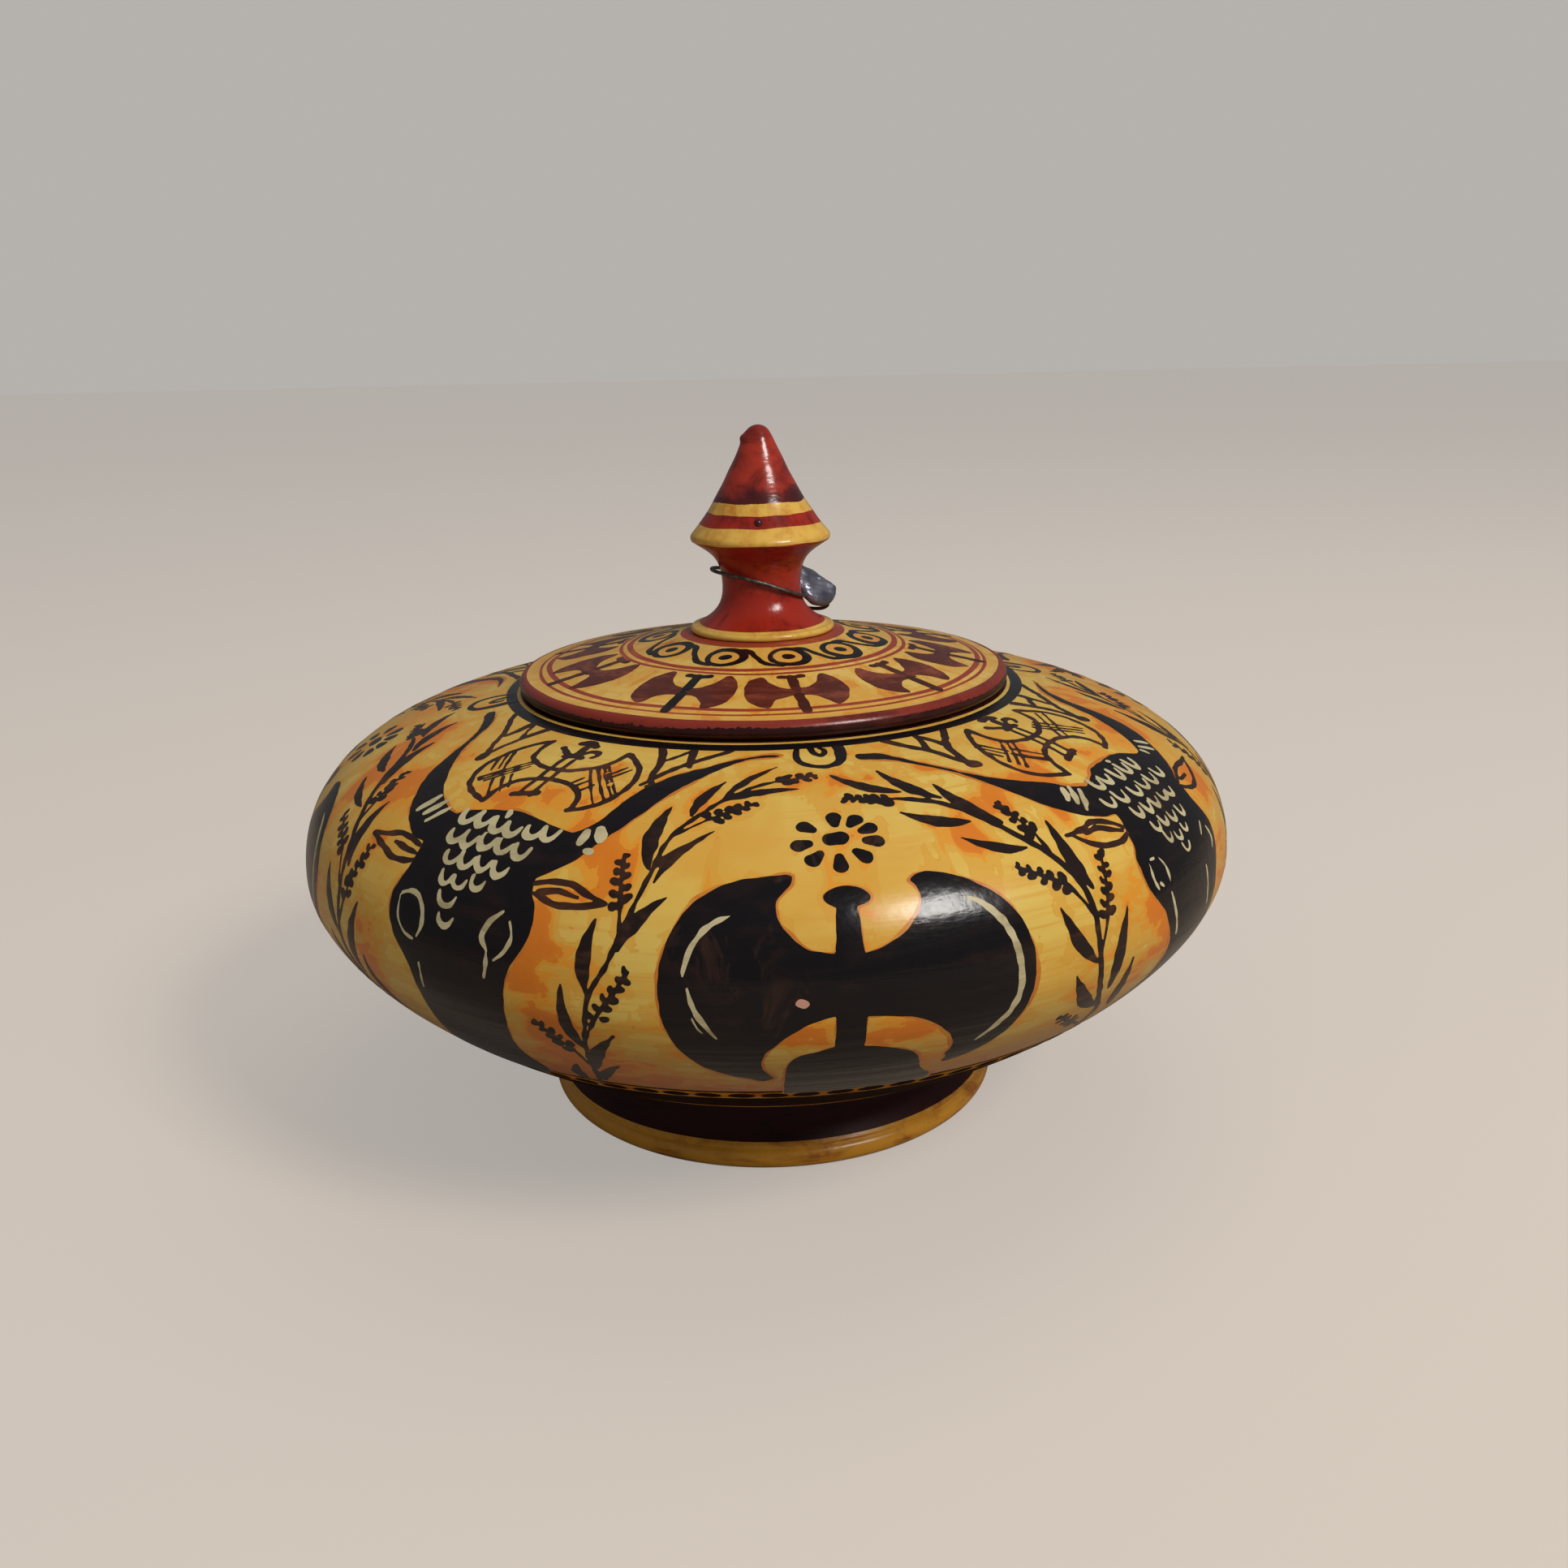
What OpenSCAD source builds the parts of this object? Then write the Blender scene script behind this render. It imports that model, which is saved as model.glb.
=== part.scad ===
// Lidded pedestal bowl: a squat thrown bowl on a foot ring, a shallow lid with
// a pointed knob, and a wire tie with a crimped lead seal round the knob's neck.
// Z is the turning axis, z = 0 is the table, sizes are in millimetres.

/* [Bowl] */
// Largest radius of the bowl
belly_r = 100; // [92:1:110]
// Height of the widest point above the table
belly_z = 59.6; // [56:0.2:64]
// Height of the mouth, where the lid rests
mouth_z = 92.2; // [88:0.2:98]
// Inner radius of the mouth
mouth_r = 48; // [44:0.5:49]
// Width of the flat land round the mouth that carries the lid
land_w = 4.5; // [4:0.25:6]
// Thickness of the bowl's wall
wall = 5; // [3.5:0.25:6.5]
// Thickness of the bowl's floor
floor_t = 6; // [4.5:0.25:8]
// Rounding of the mouth's inner edge
mouth_round = 1; // [0.5:0.1:1.5]

/* [Foot] */
// Height of the foot ring
foot_h = 13.6; // [10:0.2:17]
// Outer radius of the foot ring where it meets the bowl
foot_top_r = 46; // [42:0.5:50]
// Largest radius of the foot ring, near the table
foot_base_r = 51; // [50.5:0.5:56]
// Height of the rounded lip at the bottom of the foot ring
foot_lip_h = 5; // [4:0.25:6]
// Width of the flat face that the pot stands on
foot_face_w = 5; // [4:0.25:6]
// Width of the foot ring's top, luted to the bowl
foot_top_w = 5.5; // [4:0.25:7]

/* [Lid] */
// Distance that the lid's rim stands out beyond the land
lid_over = 0.5; // [0:0.1:3.5]
// Thickness of the lid at its rim
lid_rim_t = 3.8; // [3:0.1:5]
// Height of the lid's cone above its rim, at the knob
lid_rise = 7.4; // [5:0.2:10]
// Thickness of the lid's cone
lid_t = 5; // [4:0.25:6]
// Depth of the locating ring below the seat
ring_depth = 8; // [5:0.5:11]
// Thickness of the locating ring
ring_t = 3.5; // [2.5:0.25:4.5]
// Play between the locating ring and the mouth
ring_play = 1.5; // [0.75:0.25:2.5]

/* [Knob] */
// Height of the knob above the lid
knob_h = 43.4; // [42.5:0.2:46]
// Radius of the collar at the knob's base
collar_r = 15.6; // [15:0.2:17]
// Thickness of the collar
collar_t = 1.5; // [1.2:0.1:2]
// Radius where the neck springs from the collar
neck_base_r = 14.4; // [13.6:0.2:14.8]
// Smallest radius of the neck
neck_r = 8.45; // [7.8:0.05:8.6]
// Height of the smallest radius above the lid
neck_z = 9.6; // [9:0.1:10.2]
// Largest radius of the knob
bulb_r = 15; // [14:0.2:17]
// Height of the largest radius above the lid
bulb_z = 20.2; // [19.8:0.1:21.5]
// Radius of the knob's rounded tip
tip_r = 2.7; // [2:0.1:3.2]

/* [Seal] */
// Thickness of the tie's wire
wire_d = 0.8; // [0.6:0.05:1]
// Radius of the lead seal
seal_r = 5.5; // [5:0.1:5.7]
// Thickness of the lead seal
seal_t = 2.8; // [2.2:0.1:3]
// Rounding of the lead seal's edge
seal_round = 0.9; // [0.5:0.1:1.1]

/* [Hidden] */
$fn = 96;

steps = 24;                       // straight spans in each curve of an outline
seat_r = mouth_r + land_w;        // outer edge of the land that the lid rests on
lid_r = seat_r + lid_over;        // outside of the lid
lid_top_z = mouth_z + lid_rim_t;  // top edge of the lid's rim
knob_z = lid_top_z + lid_rise;    // flat on the lid's cone that the knob stands on
lid_edge = 1.8;                   // rounding of the lid's rim
ring_r = mouth_r - ring_play;     // outside of the locating ring

// Wire's route round the neck: [angle, distance off the neck in wire thicknesses,
// height as a share of the knob's height at its widest].
neck_route = [
    [26, 2.64, 0.347], [16, 1.22, 0.327], [0, 1.01, 0.347], [-26, 1.01, 0.391],
    [-58, 1.06, 0.475], [-90, 0.84, 0.569], [-125, 1.24, 0.634], [-160, 1.97, 0.658],
    [-185, 2.22, 0.658], [-215, 2.17, 0.619], [-245, 2.29, 0.525], [-270, 2.35, 0.416],
    [-288, 2.53, 0.277], [-303, 2.1, 0.168], [-315, 2.76, 0.119]
];
// Its ends, which run into the seal: [angle, distance out from the seal's centre in seal
// radii, height as above].
first_end = [[30, -0.31, 0.426]];
last_end = [
    [-323, 0.453, 0.119], [-328, 0.562, 0.168], [-329, 0.416, 0.257], [-329, 0.052, 0.356]
];
wire_sides = 8;
wire_rings = 4;                   // rings in each span of the wire's route
seal_share = 0.3886;              // height of the seal's centre, as above
seal_side = 34.47;                // where the seal hangs, round from the right
seal_turn = 65;                   // seal's face turned to the right of the front
seal_tip = 43;                    // seal's face tipped down from facing up

// Point at share t of a cubic curve through p[0] and p[3].
function curve_at(p, t) =
    pow(1 - t, 3) * p[0] + 3 * pow(1 - t, 2) * t * p[1]
    + 3 * (1 - t) * t * t * p[2] + pow(t, 3) * p[3];

// Its direction of travel there.
function curve_way(p, t) =
    3 * pow(1 - t, 2) * (p[1] - p[0]) + 6 * (1 - t) * t * (p[2] - p[1])
    + 3 * t * t * (p[3] - p[2]);

function unit(v) = v / norm(v);
// Left of a direction in the outline's plane.
function left_of(v) = unit([-v[1], v[0]]);

// A curve's points, moved off it to the left by side.
function curve(p, side = 0) = [
    for (i = [0 : steps])
        let (t = i / steps)
        curve_at(p, t) + side * left_of(curve_way(p, t))
];

// Points of an arc, from angle a to angle b.
function arc(centre, r, a, b, n = 8) = [
    for (i = [0 : n])
        let (w = a + (b - a) * i / n)
        centre + r * [cos(w), sin(w)]
];

// The bowl's outside is two curves that meet at the belly, where it stands upright.
under_curve = [
    [foot_top_r, foot_h],
    [foot_top_r + 24.5, foot_h + 9.9],
    [belly_r, belly_z - 15.3],
    [belly_r, belly_z]
];
shoulder_curve = [
    [belly_r, belly_z],
    [belly_r, belly_z + 22.9],
    [belly_r - 23.7, mouth_z - 4],
    [seat_r, mouth_z]
];

// The knob's neck is two curves that meet where it is thinnest.
bulb_edge = 1.3;
neck_low = [
    [neck_base_r, collar_t],
    [neck_base_r - 3.4, collar_t + 1.8],
    [neck_r, neck_z - 4.6],
    [neck_r, neck_z]
];
neck_high = [
    [neck_r, neck_z],
    [neck_r, neck_z + 6.2],
    [bulb_r - 4.4, bulb_z - 3.4],
    [bulb_r - bulb_edge * 0.6, bulb_z - bulb_edge * 0.8]
];

module bowl() {
    neck_end = curve_at(shoulder_curve, 1) + wall * left_of(curve_way(shoulder_curve, 1));
    color("goldenrod")
    rotate_extrude()
    polygon(concat(
        [[0, foot_h]],
        curve(under_curve),
        [for (p = curve(shoulder_curve)) if (p != shoulder_curve[0]) p],
        arc([mouth_r + mouth_round, mouth_z - mouth_round], mouth_round, 90, 180, 4),
        [[mouth_r, neck_end[1] + mouth_round]],
        arc([mouth_r + mouth_round, neck_end[1] + mouth_round], mouth_round, 180, 270, 4),
        [for (i = [steps : -1 : 0]) curve(shoulder_curve, wall)[i]],
        [for (i = [steps - 1 : -1 : 0])
            let (p = curve(under_curve, wall)[i])
            [p[0], max(p[1], foot_h + floor_t)]],
        [[0, foot_h + floor_t]]
    ));
}

// Foot ring: a hollow moulding over a rounded lip, flat on top and underneath.
module foot_ring() {
    lip_r = foot_lip_h / 2;
    hollow = [
        [foot_base_r - 1, foot_lip_h],
        [foot_base_r - 3.2, foot_lip_h + 2.4],
        [foot_top_r + 0.6, foot_h - 3.6],
        [foot_top_r, foot_h]
    ];
    color("saddlebrown")
    rotate_extrude()
    polygon(concat(
        [[foot_base_r - lip_r - foot_face_w, 0], [foot_base_r - lip_r, 0]],
        arc([foot_base_r - lip_r, lip_r], lip_r, -75, 66, 12),
        curve(hollow),
        [[foot_top_r - foot_top_w, foot_h]]
    ));
}

// Lid: a shallow cone with a rounded rim and a locating ring that drops into the mouth.
module lid() {
    rim_in = lid_r - lid_edge;
    cone = [
        [rim_in - 0.7, lid_top_z],
        [rim_in - 11, lid_top_z + 0.27 * lid_rise],
        [collar_r + 11, knob_z - 0.32 * lid_rise],
        [collar_r, knob_z]
    ];
    under = curve(cone, lid_t);
    ring_in = ring_r - ring_t;
    color("khaki")
    rotate_extrude()
    polygon(concat(
        [[ring_r - 0.8, mouth_z - ring_depth], [ring_r, mouth_z - ring_depth + 0.8]],
        [[ring_r, mouth_z]],
        arc([rim_in, mouth_z + lid_edge], lid_edge, -90, 0, 6),
        arc([rim_in, lid_top_z - lid_edge], lid_edge, 0, 80, 6),
        curve(cone),
        [[0, knob_z], [0, knob_z - lid_t]],
        [for (i = [steps : -1 : 0]) if (under[i][0] < ring_in - 1) under[i]],
        [[ring_in, mouth_z - 1], [ring_in, mouth_z - ring_depth + 0.8]],
        [[ring_in + 0.8, mouth_z - ring_depth]]
    ));
}

// Knob: collar, waisted neck, flared bulb and pointed tip, turned in one piece.
module knob() {
    cone = [
        [bulb_r - bulb_edge * 0.45, bulb_z + bulb_edge * 0.89],
        [bulb_r - 3.4, bulb_z + 4.4],
        [tip_r + 5.6, knob_h - 14],
        [tip_r + 0.3, knob_h - 2.3]
    ];
    color("firebrick")
    translate([0, 0, knob_z])
    rotate_extrude()
    polygon(concat(
        [[0, 0]],
        arc([collar_r - collar_t / 2, collar_t / 2], collar_t / 2, -90, 90, 8),
        curve(neck_low),
        [for (p = curve(neck_high)) if (p != neck_high[0]) p],
        arc([bulb_r - bulb_edge, bulb_z], bulb_edge, -30, 40, 6),
        curve(cone),
        [for (w = [20 : 10 : 90]) [(tip_r + 0.15) * cos(w), knob_h - 2.7 + 2.7 * sin(w)]]
    ));
}

// Radius of the neck's surface at a height above the lid.
function neck_at(h) =
    lookup(h, [for (p = concat(curve(neck_low), curve(neck_high))) [p[1], p[0]]]);

// Radius at which the seal's centre hangs, its inner edge just off the neck.
seal_reach = neck_at(seal_share * bulb_z) + 0.94 * seal_r + 0.17 * seal_t + 0.07;

function upright(angle, r, share) =
    [r * cos(angle), r * sin(angle), knob_z + share * bulb_z];

wire_route = concat(
    [for (p = first_end) upright(p[0], seal_reach + p[1] * seal_r, p[2])],
    [for (p = neck_route) upright(p[0], neck_at(p[2] * bulb_z) + p[1] * wire_d, p[2])],
    [for (p = last_end) upright(p[0], seal_reach + p[1] * seal_r, p[2])]
);

// Catmull-Rom point between b and c, on a route that comes from a and goes on to d.
function between(a, b, c, d, t) =
    0.5 * (2 * b + (c - a) * t + (2 * a - 5 * b + 4 * c - d) * t * t
    + (3 * b - a - 3 * c + d) * t * t * t);

function smooth_route(p) = [
    for (i = [0 : len(p) - 2], j = [0 : wire_rings - 1])
        between(p[max(i - 1, 0)], p[i], p[i + 1], p[min(i + 2, len(p) - 1)], j / wire_rings),
    p[len(p) - 1]
];

// Tube of one thickness along a route, closed by flat ends.
module tube(route, d, sides) {
    last = len(route) - 1;
    ways = [for (i = [0 : last]) unit(route[min(i + 1, last)] - route[max(i - 1, 0)])];
    points = [
        for (i = [0 : last])
            let (across = unit(cross(ways[i], [0, 0, 1])), up = cross(across, ways[i]))
            for (k = [0 : sides - 1])
                let (w = 360 * k / sides)
                route[i] + d / 2 * (cos(w) * across + sin(w) * up)
    ];
    walls = [
        for (i = [0 : last - 1], k = [0 : sides - 1])
            let (n = (k + 1) % sides)
            [i * sides + k, i * sides + n, (i + 1) * sides + n, (i + 1) * sides + k]
    ];
    ends = [
        [for (k = [sides - 1 : -1 : 0]) k],
        [for (k = [0 : sides - 1]) last * sides + k]
    ];
    polyhedron(points, concat(walls, ends), convexity = 8);
}

module seal_wire() {
    color("dimgray")
    tube(smooth_route(wire_route), wire_d, wire_sides);
}

// Lead seal: a thick round slug, its edge rounded by the crimping pliers.
module lead_seal() {
    half = seal_t / 2;
    color("slategray")
    translate(upright(seal_side, seal_reach, seal_share))
    rotate([0, 0, seal_turn])
    rotate([seal_tip, 0, 0])
    rotate_extrude()
    polygon(concat(
        [[0, -half]],
        arc([seal_r - seal_round, seal_round - half], seal_round, -90, 0, 6),
        arc([seal_r - seal_round, half - seal_round], seal_round, 0, 90, 6),
        [[0, half]]
    ));
}

bowl();
foot_ring();
lid();
knob();
seal_wire();
lead_seal();
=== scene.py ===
# %% [markdown]
# # A painted lidded pot
# A squat bowl thrown on the wheel stands on a foot ring, with a shallow lid and a pointed knob.
# The clay is brushed with straw-coloured slip, the figures are painted on it in dark slip, and
# everything is varnished. A wire with a crimped lead seal hangs round the knob's neck.
# The solids come from the frame. This script lays the surfaces, the painting and the light on them.

# %% Load the frame
import math
import bpy
import bmesh
import numpy as np
from mathutils import Matrix, Vector
from mathutils.geometry import delaunay_2d_cdt


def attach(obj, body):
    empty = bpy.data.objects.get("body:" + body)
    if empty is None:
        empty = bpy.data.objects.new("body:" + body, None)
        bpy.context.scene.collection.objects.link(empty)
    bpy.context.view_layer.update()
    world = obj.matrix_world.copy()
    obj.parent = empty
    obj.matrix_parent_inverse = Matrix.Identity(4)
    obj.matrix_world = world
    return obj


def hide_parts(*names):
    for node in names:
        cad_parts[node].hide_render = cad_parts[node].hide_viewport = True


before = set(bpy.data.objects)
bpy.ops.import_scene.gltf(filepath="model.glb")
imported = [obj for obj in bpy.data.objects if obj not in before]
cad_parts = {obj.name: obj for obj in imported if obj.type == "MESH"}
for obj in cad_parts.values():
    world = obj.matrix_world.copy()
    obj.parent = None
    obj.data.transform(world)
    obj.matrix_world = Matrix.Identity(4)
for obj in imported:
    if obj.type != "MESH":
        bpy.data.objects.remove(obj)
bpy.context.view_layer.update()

MM = 0.001

# %% [markdown]
# ## Curves for turned outlines
# Every clay piece was turned, so each is one outline swept round the upright axis. The solids' own
# faces are too coarse to paint on, and subdividing them would round their edges. So the same
# outlines are drawn again as Bezier curves and arcs, in millimetres out from the axis and up.

# %% Curves
def curve(corners, count=48):
    """Points on a Bezier curve with four corners."""
    p = np.array(corners, float)
    t = np.linspace(0, 1, count)[:, None]
    return (1-t)**3*p[0] + 3*(1-t)**2*t*p[1] + 3*(1-t)*t*t*p[2] + t**3*p[3]


def arc(centre, radius, start, stop, steps=8):
    """Points on an arc, from one angle in degrees to another."""
    angle = np.radians(np.linspace(start, stop, steps + 1))
    return np.stack([centre[0] + radius*np.cos(angle), centre[1] + radius*np.sin(angle)], 1)


def directions(line):
    """The unit direction of a line at each of its points."""
    way = np.gradient(line, axis=0)
    return way/np.linalg.norm(way, axis=1)[:, None]


def offset(line, distance):
    """The line moved to its left by a distance."""
    way = directions(line)
    return line + distance*np.stack([-way[:, 1], way[:, 0]], 1)


def lengths(line):
    """The length from the start of a line to each of its points."""
    return np.r_[0, np.cumsum(np.hypot(*np.diff(line, axis=0).T))]


print("a quarter circle of radius 10 mm is %.2f mm long" % lengths(arc((0, 0), 10, 0, 90))[-1])

# %% [markdown]
# ## The bowl's outline
# The wall swells from the foot to the belly and closes in to the mouth, whose edge is rounded. The
# inside follows it at the clay's thickness, down to a flat floor. The painter's marks are placed
# by their length up this wall, so the wall's lengths and its outward directions are kept too.

# %% Outline of the bowl
CLAY = 5
FOOT_TOP = 13.6
BELLY = 59.6
INNER_FLOOR = 19.6
UNDER = curve([(46, FOOT_TOP), (70.5, 23.5), (100, 44.3), (100, BELLY)], 56)
SHOULDER = curve([(100, BELLY), (100, 82.5), (76.3, 88.2), (52.5, 92.2)], 56)
WALL = np.vstack([UNDER, SHOULDER[1:]])
WALL_S = lengths(WALL)
wall_way = np.gradient(WALL, WALL_S, axis=0)
WALL_OUT = np.stack([wall_way[:, 1], -wall_way[:, 0]], 1)
inside = np.vstack([offset(SHOULDER, CLAY)[::-1], offset(UNDER, CLAY)[::-1][1:]])[::5]
inside[:, 1] = np.maximum(inside[:, 1], INNER_FLOOR)
bowl_line = np.vstack([[(0, FOOT_TOP)], WALL, arc((49, 91.2), 1, 90, 180, 4),
                       arc((49, 88.27), 1, 180, 270, 4), inside, [(0, INNER_FLOOR)]])
print("wall length, foot to mouth: %.1f mm" % WALL_S[-1])

# %% [markdown]
# ## Meshes from points
# A turned piece could be a curve with a Screw modifier. It is built from lists of points and faces
# instead, because then each face gets its slip's material as it is made, and the points of a
# finished mesh can be read back to dent it or to store a value on it.

# %% Meshes
def add_object(name, mesh):
    """A smooth object with this mesh, in the scene."""
    mesh.polygons.foreach_set("use_smooth", [True]*len(mesh.polygons))
    mesh.update()
    o = bpy.data.objects.new(name, mesh)
    bpy.context.scene.collection.objects.link(o)
    return o


def mesh_object(name, points, faces, slots=None, recalc=True):
    """An object from points and faces; slots gives each face its material."""
    mesh = bpy.data.meshes.new(name)
    mesh.from_pydata([tuple(p) for p in points], [], [tuple(f) for f in faces])
    if slots is not None:
        mesh.polygons.foreach_set("material_index", slots)
    if recalc:
        bm = bmesh.new()
        bm.from_mesh(mesh)
        bmesh.ops.recalc_face_normals(bm, faces=bm.faces)
        bm.to_mesh(mesh)
        bm.free()
    return add_object(name, mesh)


def read_points(o):
    """The points of an object's mesh, in millimetres."""
    flat = np.empty(len(o.data.vertices)*3)
    o.data.vertices.foreach_get("co", flat)
    return flat.reshape(-1, 3)/MM


# %% [markdown]
# ## Edges that stray
# The bands were laid on with a loaded brush while the wheel turned, so their edges wander a little
# and close on themselves. Noise would leave a seam where the turn ends. A sum of whole waves round
# the turn closes by itself, and a fixed seed keeps every edge the same in each run.

# %% Edges that stray
def wander(turns, size, waves=(1, 2, 3, 5, 8, 13), fine=0.0, seed=0):
    """How far an edge strays at each step of the turn; fine adds the marks of single hairs."""
    g = np.random.default_rng(seed)
    angle = np.linspace(0, 2*np.pi, turns, endpoint=False)
    out = sum(g.normal()/k**.6*np.sin(k*angle + g.uniform(0, 6.28)) for k in waves)
    out = size*out/max(1e-9, np.abs(out).max())
    if fine:
        out = out + fine*sum(g.normal()/k**.3*np.sin(k*angle + g.uniform(0, 6.28))
                             for k in g.integers(20, 150, 40))/4
    return out


def band_edges(turns, rows):
    """Edges for the lathe, from rows of: length along the outline, size, fine and seed."""
    return [(length, wander(turns, size, fine=fine, seed=seed)) for length, size, fine, seed in rows]


print("an edge of size 0.3 strays by up to %.2f mm" % np.abs(wander(90, .3)).max())

# %% [markdown]
# ## Rows of a turned mesh
# A band's edge could be drawn by a colour ramp in the material, but that blurs close up. Here a row
# of the mesh lies on every edge. The other rows are at most a step apart, with two close together
# at each sharp corner, so that smooth shading doesn't run round it.

# %% Rows of a turned mesh
def dense(line, step):
    """The outline with points at most a step apart, and a close pair at every sharp corner."""
    line = np.array([p for i, p in enumerate(line) if i == 0 or np.hypot(*(p - line[i-1])) > .02])
    out = []
    for a, b in zip(line[:-1], line[1:]):
        size = np.hypot(*(b - a))
        shares = list(np.linspace(0, 1, max(1, int(np.ceil(size/step))), endpoint=False))
        if size > 2*step:
            middle = [x for x in shares if .2/size < x < 1 - .2/size]
            shares = sorted(set([0] + middle + [.12/size, 1 - .12/size]))
        out += [a + (b - a)*x for x in shares]
    return np.array(out + [line[-1]])


def row_lengths(line, step, edges, wanted):
    """Lengths along the outline at which the mesh has a row; wanted(length, i) thins them out."""
    clear = .18
    rows = [x for x in lengths(dense(line, step)) if all(abs(x - e) > clear for e in edges)]
    rows = np.array(sorted(rows + edges))
    if wanted:
        rows = rows[[i for i, x in enumerate(rows) if wanted(x, i) or x in edges]]
    return rows


print("rows of the bowl without its bands:", len(row_lengths(bowl_line, 6, [], None)))

# %% [markdown]
# ## Lathe
# Each step of the turn has its own copy of the rows, moved along the outline by as much as the
# edges of the bands stray there. So the surface stays true while the paint's edges wander.

# %% Lathe
def turned_faces(turns, n, slot, poles):
    """Faces between n rings, and each face's slot; poles adds the fans that close both ends."""
    k = np.arange(turns)
    after = (k + 1) % turns
    faces = [np.stack([k*n + j, k*n + j + 1, after*n + j + 1, after*n + j], 1) for j in range(n - 1)]
    if not poles:
        faces.append(np.stack([k*n + n - 1, k*n, after*n, after*n + n - 1], 1))
    faces = np.vstack(faces).tolist()
    if poles:
        low, high = turns*n, turns*n + 1
        faces += [[low, a*n, b*n] for a, b in zip(k, after)]
        faces += [[high, b*n + n - 1, a*n + n - 1] for a, b in zip(k, after)]
        slot = slot[1:-1] + [slot[0], slot[-1]]
    return faces, [s for s in slot for _ in range(turns)]


def lathe(name, line, turns, step, bands=(), wanted=None):
    """Sweep an outline round the axis. Each band is the length where it starts and its edge, and
    takes the next material slot."""
    edges = [length for length, _ in bands]
    rows = row_lengths(line, step, edges, wanted)
    length = lengths(line)
    keep = np.r_[True, np.diff(length) > 1e-9]
    length, line = length[keep], line[keep]
    knots = np.array([0] + edges + [length[-1]])
    strays = np.vstack([np.zeros(turns)] + [edge for _, edge in bands] + [np.zeros(turns)])
    place = np.array([rows + np.interp(rows, knots, strays[:, k]) for k in range(turns)])
    radius = np.interp(place, length, line[:, 0])
    angle = np.linspace(0, 2*np.pi, turns, endpoint=False)[:, None]
    points = np.stack([radius*np.sin(angle), -radius*np.cos(angle),
                       np.interp(place, length, line[:, 1])], -1)*MM
    slot = [int(sum(middle > e for e in edges)) for middle in (rows[:-1] + rows[1:])/2]
    poles = line[0, 0] < 1e-6
    rings = points[:, int(poles):-1]
    body = rings.reshape(-1, 3)
    if poles:
        body = np.vstack([body, points[:1, 0], points[:1, -1]])
    faces, slots = turned_faces(turns, rings.shape[1], slot, poles)
    print(name, "rows", len(rows), "faces", len(faces))
    return mesh_object(name, body, faces, slots)


print("points in the bowl's outline:", len(bowl_line))

# %% [markdown]
# ## Shader nodes
# Slip, clay and lead are built from procedural noise, because brush streaks and clouds need no
# picture and stay sharp close up. The nodes could be placed by hand in the shader editor. In a
# script a small class keeps that short: each method adds one node and hands back its output.

# %% Shader nodes
def lin(colour):
    """A display colour from 0 to 255, as the linear colour that a shader takes."""
    return [(x/255/12.92 if x/255 <= .04045 else ((x/255 + .055)/1.055)**2.4) for x in colour] + [1]


class Nodes:
    """A material with one Principled shader."""
    def __init__(self, name):
        self.mat = bpy.data.materials.new(name)
        self.mat.use_nodes = True
        self.tree = self.mat.node_tree
        self.tree.nodes.clear()
        out = self.tree.nodes.new("ShaderNodeOutputMaterial")
        self.shader = self.tree.nodes.new("ShaderNodeBsdfPrincipled")
        self.tree.links.new(self.shader.outputs[0], out.inputs[0])
        self.place = self.tree.nodes.new("ShaderNodeTexCoord").outputs["Object"]

    def put(self, socket, value):
        """Link a socket to another node's output, or set its value."""
        if isinstance(value, bpy.types.NodeSocket):
            self.tree.links.new(value, socket)
        else:
            socket.default_value = value

    def node(self, kind, inputs=(), **settings):
        new = self.tree.nodes.new(kind)
        for key, value in settings.items():
            setattr(new, key, value)
        for key, value in dict(inputs).items():
            self.put(new.inputs[key], value)
        return new

    def math(self, kind, a, b=0.0):
        return self.node("ShaderNodeMath", {0: a, 1: b}, operation=kind).outputs[0]

    def total(self, *parts):
        """The sum of (value, weight) pairs."""
        out = self.math("MULTIPLY", *parts[0])
        for part in parts[1:]:
            out = self.math("ADD", out, self.math("MULTIPLY", *part))
        return out

    def set(self, **inputs):
        """Set the shader's inputs; an underscore stands for a space in a name."""
        for key, value in inputs.items():
            self.put(self.shader.inputs[key.replace("_", " ")], value)


print("straw slip in linear colour:", [round(x, 3) for x in lin((212, 180, 88))])

# %% [markdown]
# ## Textures
# A brush held on a turning pot leaves streaks that run round it. Noise on plain coordinates gives
# round spots, and an unwrapped mesh would have a seam. So the coordinates are worked out from the
# point's place: two turn slowly with the angle round the axis, and one runs fast up the wall.

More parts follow.
